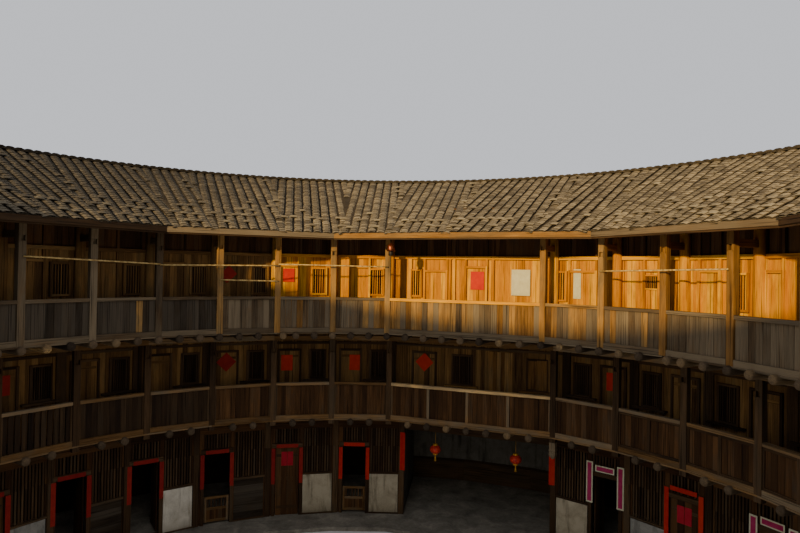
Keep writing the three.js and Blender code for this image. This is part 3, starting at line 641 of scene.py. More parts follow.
def done(smooth_angle=None):
    """Leaves edit mode, with faces outwards."""
    bpy.ops.mesh.select_all(action="SELECT")
    bpy.ops.mesh.normals_make_consistent(inside=False)
    bpy.ops.object.mode_set(mode="OBJECT")
    if smooth_angle is not None:
        bpy.ops.object.shade_smooth_by_angle(angle=math.radians(smooth_angle))
    return bpy.context.object


def runs_along(axis):
    """A test for edges that lie along an axis."""
    return lambda e: abs((e.verts[1].co - e.verts[0].co).normalized()[axis]) > FACING


def facing(axis, side):
    """A test for faces that point along an axis, to its high side or its low side."""
    return lambda f: f.normal[axis] * side > FACING


print("a face points along an axis where its normal has more than", FACING, "of it")

# %% [markdown]
# ## Timber shapes
# Old fir has eased edges. A squared timber has only its long edges taken off, and is one metre in
# each direction until a copy gives it its size.

# %% Squared timbers
def squared(axis, ease=0.04):
    """A timber one metre each way. Its grain runs along the axis."""
    piece = start("cube", size=1)
    pick(piece, runs_along(axis), "EDGE")
    bpy.ops.mesh.bevel(offset=ease, segments=1)
    return master(done(), fibre=axis)


UPRIGHT, LEVEL, DEEP = squared(2), squared(0), squared(1)


def sheet_of(bulge):
    """A thin sheet, one metre square, that stands proud in the middle by a little."""
    piece = start("cube", size=1)
    pick(piece, facing(1, -1))
    bpy.ops.mesh.inset(thickness=0.06)
    bpy.ops.transform.translate(value=(0, -bulge, 0))
    return master(done())


SHEET = sheet_of(0.25)
print("timbers: upright, level, deep and sheet")

# %% [markdown]
# ## Posts, logs and columns
# A gallery post has a mortise near its head, where a tie beam was to come through. The floors lie
# on round logs that stick out past the gallery. The columns of the third floor are round too.

# %% Posts, logs and columns
def post_with_mortise(height):
    piece = start("cube", size=1, scale=(0.16, 0.16, height), location=(0, 0, height / 2))
    pick(piece, runs_along(2), "EDGE")
    bpy.ops.mesh.bevel(offset=0.012, segments=2)
    low, high = height - 0.52, height - 0.34
    for z in (low, high):
        cut_across((0, 0, z), (0, 0, 1))
    pick(piece, lambda f: facing(1, -1)(f) and low < f.calc_center_median().z < high)
    bpy.ops.mesh.inset(thickness=0.034)
    grow(0, 0.07, 0)
    return master(done())


def round_log(sides):
    """A log along Y, one metre long and one metre in radius, with a slightly domed end."""
    piece = start("cylinder", vertices=sides, radius=1, depth=1, rotation=(math.pi / 2, 0, 0))
    pick(piece, facing(1, -1))
    bpy.ops.mesh.inset(thickness=0.12)
    bpy.ops.transform.translate(value=(0, -0.006, 0))
    return master(done(40), fibre=1)


def round_column(sides):
    """A column one metre high and one metre in radius at its foot, a little thinner at its head."""
    piece = start("cone", vertices=sides, radius1=1, radius2=0.88, depth=1.0, location=(0, 0, 0.5))
    pick(piece, facing(2, 1))
    bpy.ops.mesh.inset(thickness=0.05)
    return master(done(40))


LOG, COLUMN = round_log(12), round_column(14)
print("post, log and column ready")

# %% [markdown]
# ## Board walls
# The room fronts are upright boards let in between sills and rails. A board is about 15 cm wide,
# and no two stand at quite the same depth. Where there is a window or a door the boards stop.

# %% Setting boards, bars and frames in a bay
LAP, NARROWEST = 0.002, 0.03


class Bay:
    """One bay and its timbers. x is measured from its middle, to the right seen from the court."""

    def __init__(self, ring, n):
        self.ring, self.n, self.half = ring, n, length(ring, n) / 2

    def place(self, x, out, z, scale=(1, 1, 1)):
        return in_bay(self.ring, self.n, x, out, z, scale)

    def from_hall(self, s0, s1):
        """The left and right x of two places measured from the post nearer the hall."""
        half = self.half
        return (half - s1, half - s0) if self.n < HALL else (s0 - half, s1 - half)

    def upright(self, x, out, z0, z1, width, depth):
        return UPRIGHT, self.place(x, out, (z0 + z1) / 2, (width, depth, z1 - z0))

    def level(self, x0, x1, out, z, height, depth):
        return LEVEL, self.place((x0 + x1) / 2, out, z, (x1 - x0, depth, height))

    def across(self, out, z, height, depth):
        """A level timber from post to post."""
        return self.level(-self.half, self.half, out, z, height, depth)

    def slats(self, x0, x1, out, z0, z1, spacing, width, depth=0.03):
        count = max(1, round((x1 - x0) / spacing))
        step = (x1 - x0) / count
        return [self.upright(x0 + (i + 0.5) * step, out, z0, z1, width, depth)
                for i in range(count)]

    def boards(self, x0, x1, out, z0, z1, width, depth=0.022, gap=-LAP):
        """Boards side by side. With no gap they lap, so that no light comes through a wall."""
        count = max(1, round((x1 - x0) / width))
        step = (x1 - x0) / count
        return [self.upright(x0 + (i + 0.5) * step, out + chance.uniform(-0.004, 0.004), z0, z1,
                             step - gap, depth) for i in range(count)]

    def planks(self, x0, x1, out, z0, z1, height, depth):
        """Boards that lie level, one over the other."""
        count = max(1, round((z1 - z0) / height))
        step = (z1 - z0) / count
        return [self.level(x0, x1, out + chance.uniform(-0.003, 0.003), z0 + (i + 0.5) * step,
                           step - 0.005, depth) for i in range(count)]

    def surround(self, x0, x1, out, z0, z1, width, depth):
        """Two jambs, a head and a sill around a hole."""
        inner, mid = width, width / 2
        return [self.upright(x0 + mid, out, z0, z1, width, depth),
                self.upright(x1 - mid, out, z0, z1, width, depth),
                self.level(x0 + inner, x1 - inner, out, z1 - mid, width, depth),
                self.level(x0 + inner, x1 - inner, out, z0 + mid, width, depth)]

    def wall(self, out, z0, z1, holes, width):
        """Boards from post to post, stopped at each hole, which is (x0, x1, z0, z1)."""
        strips, at = [], -self.half
        for left, right, low, high in sorted(holes):
            strips += [(at, left, z0, z1), (left, right, z0, low), (left, right, high, z1)]
            at = right
        strips.append((at, self.half, z0, z1))
        return [board for x0, x1, low, high in strips if min(x1 - x0, high - low) > NARROWEST
                for board in self.boards(x0, x1, out, low, high, width)]


print("bay", HALL, "is", round(2 * Bay(GALLERY_2, HALL).half, 2), "m wide on the second floor")

# %% [markdown]
# ## Floors and logs
# A floor is boards laid round the ring on logs, three logs to a bay, whose ends stick out under the
# gallery. The packed floors keep their boards and get a board pattern. A full round log is laid
# over each packed one, because its end is seen from across the court.

# %% A board floor, patterned round the ring
BOARDS_PER_METRE = 5.2


def floor_finish():
    f = Finish("floor_boards", 0.85)
    place = f.coords()
    rows = f.sum((f.from_middle(place), BOARDS_PER_METRE))
    board = f.add("Math", {"operation": "FLOOR"}, _0=rows).outputs[0]
    tone = f.add("TexWhiteNoise", {"noise_dimensions": "1D"}, W=board).outputs["Value"]
    gap = f.spread(f.to_joint(rows), 0.0, 0.035)
    fine = f.noise(place, 24, 5, 0.6)
    shade = f.sum((fine, 0.6), (tone, 0.4))
    colour = f.ramp(shade, (0.3, "2f2317"), (0.55, "5a452d"), (0.8, "7d6240"))
    f.paint(f.mix(gap, linear("0c0806"), colour))
    f.bump(f.sum((gap, 0.8), (fine, 0.3)), 0.5, 0.006)
    return f.material


FLOOR_BOARDS = floor_finish()
SECTORS = {"gate": (27, 32), "left_front": (2, 7), "left_back": (7, 12),
           "hall": (12, 17), "right_back": (17, 22), "right_front": (22, 27)}


def finish_node(node, finish):
    piece = bpy.data.objects[node]
    piece.data.materials.clear()
    piece.data.materials.append(finish)


for sector in SECTORS:
    finish_node(f"second_floor_{sector}", FLOOR_BOARDS)
    finish_node(f"third_floor_{sector}", FLOOR_BOARDS)
print("floors patterned")


# %% Log ends
EARTH_INSIDE, LOGS_TO_BAY, LOG_DROP = 13.04, 3, 0.082


def log_end():
    """Fir seen from the end: growth rings, cracks and a grey rim."""
    f = Finish("log_fir", 0.9)
    along = f.noise(f.grain((1, 1, 0.03)), 40, 5, 0.6, 0.5)
    patch = f.noise(f.grain((1, 1, 0.2)), 4, 3, 0.6)
    shade = f.sum((along, 0.5), (patch, 0.4), (f.tone(), 0.5))
    f.paint(f.ramp(shade, (0.4, "2a2118"), (0.8, "5a4b39"), (1.02, "7d6747"), (1.16, "ac8c58")))
    f.bump(along, 0.5, 0.004)
    return f.material


LOG_FIR = log_end()


def chord(ring_angle, angle):
    """How much nearer a straight front is than the circle through its posts."""
    n = next(k for k in range(2 * POSTS) if ring_angle(k) <= angle + 1e-9 < ring_angle(k + 1))
    middle_angle = (ring_angle(n) + ring_angle(n + 1)) / 2
    return math.cos((ring_angle(n + 1) - ring_angle(n)) / 2) / math.cos(angle - middle_angle)


def logs(radius, floor_top, posts_below):
    """With posts below, a log that would lie on a post is left out."""
    copies = []
    for first, last in SECTORS.values():
        for n in range(first, last):
            span = post_angle(n + 1) - post_angle(n)
            spaces = round(LOGS_TO_BAY * span / BAY)
            for i in range(1 if posts_below else 0, spaces):
                aside = 0.16 / radius if i == 0 and n == first else 0
                angle = post_angle(n) + span * i / spaces + aside
                inner = (radius - 0.115 - chance.uniform(0, 0.03)) * chord(post_angle, angle)
                thick = chance.uniform(0.092, 0.1)
                place = polar((inner + EARTH_INSIDE) / 2, angle, floor_top - LOG_DROP)
                size = (thick, EARTH_INSIDE - inner, thick)
                copies.append((LOG, turned(place, angle, size)))
    return dress(LOG_FIR, copies)


lay("second_floor_logs", logs(R_GALLERY_2, LEVEL_2, True))
lay("third_floor_logs", logs(R_GALLERY_3, LEVEL_3, False))

# %% [markdown]
# ## The roof's planes
# The inner eave is straight from corner post to corner post, every third bay, and the ridge is
# round. So the slope is steeper over a corner than between corners.

# %% Heights on the roof
EAVE_CORNER, RIDGE, EAVE_LOW, RIDGE_TOP, ROOF_DEPTH = 7.45, 11.36, 8.39, 10.49, 0.12
OUTER_EAVE, OUTER_TOP = 16.0, 8.40
CORNERS = [post_angle(n) for n in range(1, 32, 3)]


def eave_radius(angle):
    while angle < CORNERS[0] - 1e-9:
        angle += FULL_TURN
    while angle > CORNERS[-1] + 1e-9:
        angle -= FULL_TURN
    a, b = next((a, b) for a, b in zip(CORNERS, CORNERS[1:]) if angle <= b + 1e-9)
    return EAVE_CORNER * math.cos((b - a) / 2) / math.cos(angle - (a + b) / 2)


def under_roof(radius, angle):
    share = (radius - eave_radius(angle)) / (RIDGE - eave_radius(angle))
    return EAVE_LOW + share * (RIDGE_TOP - ROOF_DEPTH - EAVE_LOW)


print("the eave is", round(eave_radius(0), 2), "to", EAVE_CORNER, "m from the middle")


# %% Timbers between two points
def between(shape, start_at, end_at, wide, high):
    """A copy whose X runs from one point to the other."""
    along = Vector(end_at) - Vector(start_at)
    x = along.normalized()
    y = Vector((0, 0, 1)).cross(x).normalized()
    turn = Matrix((x, y, x.cross(y))).transposed().to_4x4()
    place = Matrix.Translation((Vector(start_at) + Vector(end_at)) / 2)
    return shape, place @ turn @ Matrix.Diagonal((along.length, wide, high, 1))


def chain(ends, wide, high):
    """Timbers from each point to the next."""
    return [between(LEVEL, a, b, wide, high) for a, b in zip(ends, ends[1:])]


def round_the_ring(radius, angles, z, wide, high):
    return chain([polar(radius, angle, z) for angle in angles], wide, high)


def facets(n, steps):
    """The angles of the ends of the straight lengths in a bay."""
    span = post_angle(n + 1) - post_angle(n)
    return [post_angle(n) + span * i / steps for i in range(steps + 1)]


print("the hall's straight lengths end at", [round(angle, 3) for angle in facets(HALL, 3)])

# %% [markdown]
# ## The balustrades
# Both galleries have a sill, a cap rail, and boards between them. On the second floor the boards
# sit in frames, one or two to a bay, and four across the hall. On the third floor they are plain
# upright boards with gaps that have opened as they dried.

# %% Second-floor balustrade
POST_2 = post_with_mortise(2.56)
SILL_2, CAP_2, BEAM_2, PANEL_2, FRAME_2 = 3.285, 4.24, 5.57, (3.34, 4.21), (3.34, 4.205)
POST_FOOT_2, EDGE = 3.08, 0.07
ONE_FRAME = (1, 2, 6, 8, 9, 10, 11, 12, 13, 15, 20, 24)
OPEN_BOARDS = (8, 22)
HALVES = {"left": (range(0, 15), range(0, 16)), "right": (range(15, 30), range(16, 30))}


def sill(bay, z):
    """A sill from post to post, and the lath under its outer edge."""
    return [bay.across(0.025, z, 0.13, 0.17), bay.across(-0.05, z - 0.08, 0.035, 0.06)]


def second_bay(n):
    bay = Bay(GALLERY_2, n)
    edge = bay.half - EDGE
    panels = 4 if n in (HALL, GATE_BAY) else 1 if n in ONE_FRAME else 2
    gap = 0.03 if n in OPEN_BOARDS else 0.004
    cap, frame = (PALE_RAIL_FIR, RAIL_FIR) if n == HALL else (RAIL_FIR, DARK_FIR)
    pieces = dress(RAIL_FIR, sill(bay, SILL_2))
    pieces += dress(cap, bay.level(-edge, edge, 0, CAP_2, 0.08, 0.12))
    step = 2 * edge / panels
    for i in range(panels):
        x0, x1 = -edge + i * step, -edge + (i + 1) * step
        # Panels left of bay 11 get a darker fir: painted shade.
        pieces += dress(PAINTED_SHADE_FIR if n < 11 else PANEL_FIR,
                        bay.boards(x0 + 0.02, x1 - 0.02, 0.008, *PANEL_2, 0.14, gap=gap))
        if i:
            pieces += dress(frame, bay.upright(x0, -0.012, *FRAME_2, 0.075, 0.05))
    for x in (-edge + 0.02, edge - 0.02):
        pieces += dress(frame, bay.upright(x, -0.012, *FRAME_2, 0.06, 0.05))
    if panels == 2:
        for z in (4.165, 3.375):
            pieces += dress(DARK_FIR, bay.level(-edge, edge, -0.012, z, 0.055, 0.045))
    return pieces + dress(RAIL_FIR, bay.across(0, BEAM_2, 0.14, 0.18))


for side, (bays, posts) in HALVES.items():
    pieces = [piece for n in bays for piece in second_bay(n)]
    pieces += dress(DARK_FIR, [(POST_2, at_post(GALLERY_2, n, POST_FOOT_2)) for n in posts])
    lay(f"second_balustrade_{side}", pieces, replaces=[f"second_floor_gallery_{side}"])

# %% Third-floor balustrade
POST_3_HEIGHT, POST_TOP_DROP = 2.6, 0.135
POST_3 = post_with_mortise(POST_3_HEIGHT)
SILL_3, CAP_3, BOARDS_3, STRUT_3, TIE_3 = 5.865, 6.74, (5.92, 6.71), (5.92, 6.705), 8.175
# The share of warm brown boards in a bay: partly boards of another colour, partly painted sunlight on
# the bays the sun reaches.
WARM_OR_SUNLIT_BAYS = {13: 0.3, HALL: 0.62, 15: 0.68, 16: 0.22, 17: 0.06}


def plate_height(angle):
    return under_roof(R_GALLERY_3 - 0.09, angle) - 0.06


def third_bay(n):
    bay = Bay(GALLERY_3, n)
    edge = bay.half - EDGE
    warm_or_sunlit = WARM_OR_SUNLIT_BAYS.get(n, 0.03)
    # The cap is golden on the hall and brown on sunlit bays, as painted sunlight; left of bay 11 the
    # boards are darker, as painted shade.
    cap = GOLDEN_FIR if n == HALL else BROWN_FIR if warm_or_sunlit > 0.3 else GREY_FIR
    grey_or_shaded = GREY_FIR if n > 10 else SLATE_FIR
    pieces = dress(GREY_FIR, sill(bay, SILL_3)) + dress(cap, bay.across(0, CAP_3, 0.08, 0.12))
    for board in bay.boards(-edge, edge, 0, *BOARDS_3, 0.155, 0.026, gap=0.005):
        pieces += dress(BROWN_FIR if chance.uniform() < warm_or_sunlit else grey_or_shaded, board)
    struts = max(1, round(bay.half / 0.9))
    for i in range(struts):
        x = -edge + (i + 0.5) * 2 * edge / struts
        pieces += dress(POST_FIR, bay.upright(x, 0.03, *STRUT_3, 0.07, 0.04))
    steps = 3 if n in (HALL, GATE_BAY) else 1
    ends = []
    for i, angle in enumerate(facets(n, steps)):
        nearer = chord(post_angle, angle - 1e-7 if i == steps else angle)
        ends.append(polar(R_GALLERY_3 * nearer, angle, plate_height(angle) - 0.07))
    return pieces + dress(POST_FIR, chain(ends, 0.18, 0.14))


def third_post(n):
    """A post of the third-floor gallery, and the tie from it to the column behind."""
    angle = post_angle(n)
    height = plate_height(angle) - POST_TOP_DROP - LEVEL_3
    post = POST_3, at_post(GALLERY_3, n, LEVEL_3, (1, 1, height / POST_3_HEIGHT))
    tie = chain([polar(radius, angle, TIE_3) for radius in (R_GALLERY_3, 8.72)], 0.10, 0.15)
    # Posts of bays 11 to 18 get brown fir and the others grey: painted sunlight on the lit posts.
    return dress(BROWN_FIR if n in range(11, 19) else GREY_FIR, post, tie)


for side, (bays, posts) in HALVES.items():
    pieces = [piece for n in bays for piece in third_bay(n)]
    pieces += [piece for n in posts for piece in third_post(n)]
    lay(f"third_balustrade_{side}", pieces, replaces=[f"third_floor_gallery_{side}"])

# %% [markdown]
# ## The second-floor rooms
# Each room has a plank door and a barred window that stands over a little ledge. Most doors carry
# a red paper at New Year: the sheets here are bare.

# %% Doors of planks
WALL_2, WINDOW_2, DOOR_2 = (3.26, 5.64), (4.25, 5.05), (3.30, 5.11)
WINDOW_FRAME_2, DOOR_FRAME_2, LEAF_2 = (4.20, 5.10), (3.27, 5.12), (3.31, 5.06)


def plank_door(bay, x0, x1, out, z0, z1, battens=True):
    """Upright planks, with a batten across them near the foot and the head."""
    heights = (z0 + 0.16, z1 - 0.16) if battens else ()
    return bay.boards(x0, x1, out, z0, z1, 0.17, 0.028) + [
        bay.level(x0 + 0.03, x1 - 0.03, out - 0.018, z, 0.07, 0.022) for z in heights]


def second_room(n):
    bay, ledge = Bay(FRONT_2, n), DARK_FIR
    windows, doors = [bay.from_hall(0.25, 0.67)], [bay.from_hall(0.95, 1.65)]
    if n == GATE_BAY:
        windows, doors = [(-0.3, 0.3)], []
    if n == HALL:
        windows, doors, ledge = [(-0.66, -0.12), (1.53, 2.03)], [(-1.96, -1.17)], BROWN_FIR
    holes = [(a, b, *WINDOW_2) for a, b in windows] + [(a, b, *DOOR_2) for a, b in doors]
    pieces = dress(WALL_FIR, bay.wall(0, *WALL_2, holes, 0.14))
    for a, b in windows:
        frame = bay.surround(a - 0.05, b + 0.05, -0.02, *WINDOW_FRAME_2, 0.055, 0.07)
        pieces += dress(DARK_FIR, frame, bay.slats(a, b, 0, *WINDOW_2, 0.056, 0.026))
        pieces += dress(ledge, bay.level(a - 0.24, b + 0.2, -0.085, 4.175, 0.05, 0.14))
    for a, b in doors:
        pieces += dress(WALL_FIR, plank_door(bay, a + 0.05, b - 0.05, 0.0, *LEAF_2))
        pieces += dress(DARK_FIR, bay.surround(a, b, -0.02, *DOOR_FRAME_2, 0.06, 0.08))
    if n == HALL:
        cover = bay.boards(0.42, 1.09, -0.026, 3.34, 5.24, 0.11, 0.02, gap=0.004)
        shutter = bay.boards(1.51, 2.05, -0.046, 4.23, 5.07, 0.27, 0.02)
        pieces += dress(BROWN_FIR, cover, shutter)
    studs = [bay.upright(x, -0.01, *WALL_2, 0.12, 0.10) for x in (-bay.half + 0.06, bay.half - 0.06)]
    pieces += dress(DARK_FIR, studs, bay.across(-0.02, 5.3, 0.07, 0.07))
    return pieces + dress(PANEL_FIR, bay.across(0.03, 5.69, 0.16, 0.022))


SECOND_FRONTS = {**SECTORS, "hall_left": (12, 14), "hall": (14, 15), "hall_right": (15, 17)}
for part, (first, last) in SECOND_FRONTS.items():
    rooms = [piece for n in range(first, last) for piece in second_room(n % POSTS)]
    lay(f"second_rooms_{part}", rooms, replaces=[f"second_floor_front_{part}"])

# %% [markdown]
# ## The third-floor rooms
# Under the roof the boards have kept their golden colour, except above the rail, where dark fir is
# painted shade of the eave, and in rooms the sun never reaches, where brown fir is painted shade. The
# sun comes in low under the eave here, so every frame and door shows. The columns between the rooms
# are whole round trunks.

# %% Windows, doors and studs of a third-floor room
FOOT_3, HEAD_3, WINDOW_3, WINDOW_FRAME_3 = 5.84, 7.93, (6.85, 7.55), (6.80, 7.60)
DOOR_FOOT_3, R_COLUMN = 5.86, 8.75
THIRD_DOORS = {13: (0.60, 1.22), 12: (0.98, 1.60), 11: (1.00, 1.62),
               16: (0.66, 1.08), 17: (0.30, 0.84), 18: (0.08, 0.52)}
THIRD_WINDOWS = {16: None, 17: (1.14, 1.38), 18: (0.92, 1.30)}
HALL_STUDS = ((-1.74, 0.14), (-0.55, 0.07), (-0.42, 0.07), (0.67, 0.08), (2.2, 0.1))


def third_holes(bay):
    """The windows (x0, x1) and the doors (x0, x1, head) of a third-floor room."""
    if bay.n == GATE_BAY:
        return [], []
    if bay.n == HALL:
        return [(-1.66, -1.40)], [(-1.32, -0.60, 7.58), (-0.12, 0.53, 7.70)]
    if bay.n == HALL + 1:
        return [bay.from_hall(0.05, 0.30)], [(*bay.from_hall(0.38, 1.15), 7.62)]
    window = THIRD_WINDOWS.get(bay.n, (0.24, 0.62))
    door = bay.from_hall(*THIRD_DOORS.get(bay.n, (0.76, 1.38)))
    return [bay.from_hall(*window)] if window else [], [(*door, 7.66)]


def stud(bay, x, z0, z1, wide):
    """A stud up the wall. Above the rail it is dark fir: painted shade of the eave."""
    return (dress(GOLDEN_FIR, bay.upright(x, -0.02, z0, HEAD_3, wide, 0.06))
            + dress(PANEL_FIR, bay.upright(x, -0.02, HEAD_3, z1, wide, 0.06)))


print("third-floor windows are", round(WINDOW_3[1] - WINDOW_3[0], 2), "m high")


# %% Third-floor room fronts
def third_room(n):
    bay = Bay(GALLERY_2, n)
    top = under_roof(R_GALLERY_2, middle(GALLERY_2, n)) + 0.02
    windows, doors = third_holes(bay)
    holes = [(a, b, *WINDOW_3) for a, b in windows] + [(a, b, DOOR_FOOT_3, z) for a, b, z in doors]
    pieces = dress(GOLDEN_FIR, bay.wall(0.03, FOOT_3, HEAD_3, holes, 0.19))
    # Boards above the rail are dark fir: painted shade of the eave.
    pieces += dress(PANEL_FIR, bay.boards(-bay.half, bay.half, 0.03, HEAD_3, top, 0.19))
    for a, b in windows:
        frame = bay.surround(a - 0.045, b + 0.045, -0.02, *WINDOW_FRAME_3, 0.05, 0.07)
        pieces += dress(GOLDEN_FIR, frame, bay.slats(a, b, 0, *WINDOW_3, 0.06, 0.022))
        # Dark boards just behind the bars: painted shade inside the window.
        pieces += dress(PAINTED_SHADE_FIR, bay.boards(a, b, 0.05, 6.84, 7.56, 0.16, 0.02))
    for a, b, z in doors:
        door = plank_door(bay, a + 0.05, b - 0.05, 0.004, 5.90, z - 0.05, battens=False)
        pieces += dress(GOLDEN_FIR, door, bay.surround(a, b, -0.025, DOOR_FOOT_3, z, 0.06, 0.09))
        for x in (a + 0.03, b - 0.03):
            pieces += stud(bay, x, z, top, 0.06)
        if n == 16:
            grille = bay.slats(a + 0.07, b - 0.07, -0.03, 7.22, 7.50, 0.045, 0.022)
            rails = [bay.level(a + 0.05, b - 0.05, -0.03, rail, 0.035, 0.03) for rail in (7.20, 7.52)]
            pieces += dress(PANEL_FIR, grille) + dress(GOLDEN_FIR, rails)
    if n == HALL:
        for x, wide in HALL_STUDS:
            pieces += stud(bay, x, FOOT_3, top, wide)
    return pieces + dress(GOLDEN_FIR, bay.across(-0.02, HEAD_3, 0.09, 0.08),
                          bay.across(-0.02, 5.90, 0.10, 0.09))


def column(n):
    angle = post_angle(n)
    height = under_roof(R_GALLERY_2, angle) - 0.17 - FOOT_3
    place = polar(R_COLUMN, angle, FOOT_3)
    return dress(GOLDEN_FIR, (COLUMN, turned(place, angle, (0.125, 0.125, height))))


def shaded(pieces, n):
    """Rooms that the sun never reaches get brown fir in place of golden: painted shade."""
    brown = n < 12 or n > 21
    return [(shape, place, WALL_FIR if brown and finish == GOLDEN_FIR else finish)
            for shape, place, finish in pieces]


for side, (bays, posts) in HALVES.items():
    rooms = [piece for n in bays for piece in shaded(third_room(n), n)]
    rooms += [piece for n in posts for piece in shaded(column(n), n)]
    lay(f"third_rooms_{side}", rooms, replaces=[f"third_floor_front_{side}"])

# %% [markdown]
# ## Roof tiles
# The tiles lie in columns from eave to ridge, each tile a shallow arch over the one below it, with
# a dark channel between the columns. One arch is modelled from half a cylinder. The tile at the
# eave is hollow, because its end is seen.

# %% A tile
def arch(hollow):
    tipped = math.pi / 2, math.pi / 8, 0
    piece = start("cylinder", vertices=8, radius=0.5, depth=1, rotation=tipped)
    cut_across((0, 0, 0), (0, 0, 1), clear_inner=True, use_fill=True)
    if hollow:
        pick(piece, facing(1, -1))
        bpy.ops.mesh.inset(thickness=0.09)
        grow(0, 0.4, 0)
    return master(done(), fibre=1)


TILE, EAVE_TILE = arch(False), arch(True)
print("a tile has", len(TILE["sizes"]), "faces, and one at the eave", len(EAVE_TILE["sizes"]))


# %% Places on a slope
def outer_steps(n):
    """How many straight lengths the outer eave has in a bay."""
    return 6 if n % POSTS in (HALL, GATE_BAY) else 2


def outer_reach(angle):
    """The outer slab has a corner at every post and in the middle of every bay."""
    angle = post_angle(0) + (angle - post_angle(0)) % FULL_TURN
    n = next(k for k in range(POSTS) if angle < post_angle(k + 1))
    step = (post_angle(n + 1) - post_angle(n)) / outer_steps(n)
    offset = (angle - post_angle(n)) % step - step / 2
    return OUTER_EAVE * math.cos(step / 2) / math.cos(offset)


INNER_SIDE, OUTER_SIDE = (eave_radius, EAVE_LOW + ROOF_DEPTH), (outer_reach, OUTER_TOP)


def on_slope(side, plan, lift):
    """The point of a slope over a place in plan."""
    edge, edge_height = side
    angle = math.atan2(plan.x, plan.y)
    share = (plan.length - edge(angle)) / (RIDGE - edge(angle))
    return Vector((plan.x, plan.y, edge_height + share * (RIDGE_TOP - edge_height) + lift))


def rise(side, plan, move):
    """The direction up or down a slope, over a move in plan."""
    return (on_slope(side, plan + move, 0) - on_slope(side, plan, 0)).normalized()


def lying(shape, place, up_slope, aside, size, pitch, skew):
    """A tile with its length up the slope, its low end raised by pitch."""
    x = aside if aside.cross(up_slope).z > 0 else -aside
    y = (Matrix.Rotation(-pitch, 3, x) @ up_slope).normalized()
    y = (Matrix.Rotation(skew, 3, x.cross(y)) @ y).normalized()
    x = (x - y * x.dot(y)).normalized()
    turn = Matrix((x, y, x.cross(y))).transposed().to_4x4()
    return shape, Matrix.Translation(place) @ turn @ Matrix.Diagonal((*size, 1))


print("the slopes rise", [round(RIDGE_TOP - low, 2) for _, low in (INNER_SIDE, OUTER_SIDE)], "m")

# %% [markdown]
# A round roof can't be covered with straight columns alone. So the tiler lays a run of columns side
# by side, begins the next run at a small turn, and lets short columns end where two runs meet. The
# messy seams between the runs are plain to see on a real roof. Tiles laid loose across the
# channels hold the columns, mostly in two rows near the eave.

# %% Runs of tiles
TILE_SPACING, TILE_ROW, COLUMN_SHARE, TILE_LAP = 0.262, 0.115, 0.84, 1.65
TILE_HEIGHT, TILE_PITCH = 0.088, 0.085
RUN_EDGES = [post_angle(n) + chance.uniform(-0.04, 0.04) for n in range(POSTS)]
RUN_EDGES = sorted(RUN_EDGES + [post_angle(HALL) + 0.24, post_angle(GATE_BAY) + 0.28])
RUN_EDGES.append(RUN_EDGES[0] + FULL_TURN)


def column_ends(side, x, centre, half):
    """Where a column begins at its low end, and ends at its high end, along its run."""
    edge_y = RIDGE
    for _ in range(8):
        edge_y = math.sqrt(side[0](centre + math.atan2(x, edge_y)) ** 2 - x * x)
    ridge_y, seam_y = math.sqrt(RIDGE ** 2 - x * x), abs(x) / math.tan(half)
    if side is INNER_SIDE:
        return max(edge_y, seam_y), ridge_y, edge_y >= seam_y
    return edge_y, max(ridge_y, seam_y), True


RUNS = len(RUN_EDGES) - 1
print(RUNS, "runs of tiles")


# %% One column of tiles
def tile_column(side, run, x, low, high, wide, lift, eave_shape):
    """One column of tiles from its low end up. run holds its directions along and aside."""
    along, aside = run
    rows = max(1, round(abs(high - low) / TILE_ROW))
    step = (high - low) / rows
    tiles = []
    for k in range(rows):
        plan = along * (low + (k + 0.45) * step) + aside * (x + chance.normal(0, 0.005))
        place = on_slope(side, plan, lift + chance.uniform(0, 0.008))
        shape = eave_shape if k == 0 else TILE
        size = (wide, TILE_LAP * abs(step), TILE_HEIGHT)
        tiles.append(lying(shape, place, rise(side, plan, along * step), aside, size, TILE_PITCH,
                           chance.normal(0, 0.03)))
    return dress(CLAY, tiles)


def loose_tiles(side, run, x, low, high, rows_likely):
    """Tiles across the channel beside a column."""
    along, aside = run
    step = math.copysign(TILE_ROW, high - low)
    tiles = []
    for k, likely in rows_likely:
        if k * TILE_ROW < abs(high - low) and chance.uniform() < likely:
            plan = along * (low + (k + chance.uniform(-0.6, 0.6)) * step) + aside * x
            place = on_slope(side, plan, 0.05)
            tiles.append(lying(TILE, place, rise(side, plan, along * step), aside,
                               (0.22, 0.13, 0.05), 0.0, chance.normal(0, 0.10)))
    return dress(LOOSE_CLAY, tiles)


print("a full column has about", round((RIDGE - EAVE_CORNER) / TILE_ROW), "tiles inside")


# %% Both slopes of the roof
def tiled(side, rows_likely, first, last):
    """The tiles of the runs first to last, and of the seam at the start of each run."""
    tiles = []
    for number in range(first, last):
        a, b = RUN_EDGES[number], RUN_EDGES[number + 1]
        centre, half = (a + b) / 2, (b - a) / 2
        seam, run = [(polar(1, angle, 0), sideways(angle)) for angle in (a, centre)]
        low, high, _ = column_ends(side, 0, a, half)
        tiles += tile_column(side, seam, 0, low, high, 0.27, -0.030, EAVE_TILE)
        widest = (RIDGE if side is INNER_SIDE else OUTER_EAVE) * math.sin(half)
        count = round(2 * widest / TILE_SPACING)
        for i in range(count):
            x = -widest + (i + 0.5) * 2 * widest / count
            low, high, at_eave = column_ends(side, x, centre, half)
            lift = 0.008 * (number % 2) + chance.uniform(-0.006, 0.006)
            wide, lowest = COLUMN_SHARE * 2 * widest / count, EAVE_TILE if at_eave else TILE
            tiles += tile_column(side, run, x, low, high, wide, lift, lowest)
            if i:
                tiles += loose_tiles(side, run, x - widest / count, low, high, rows_likely)
    return tiles


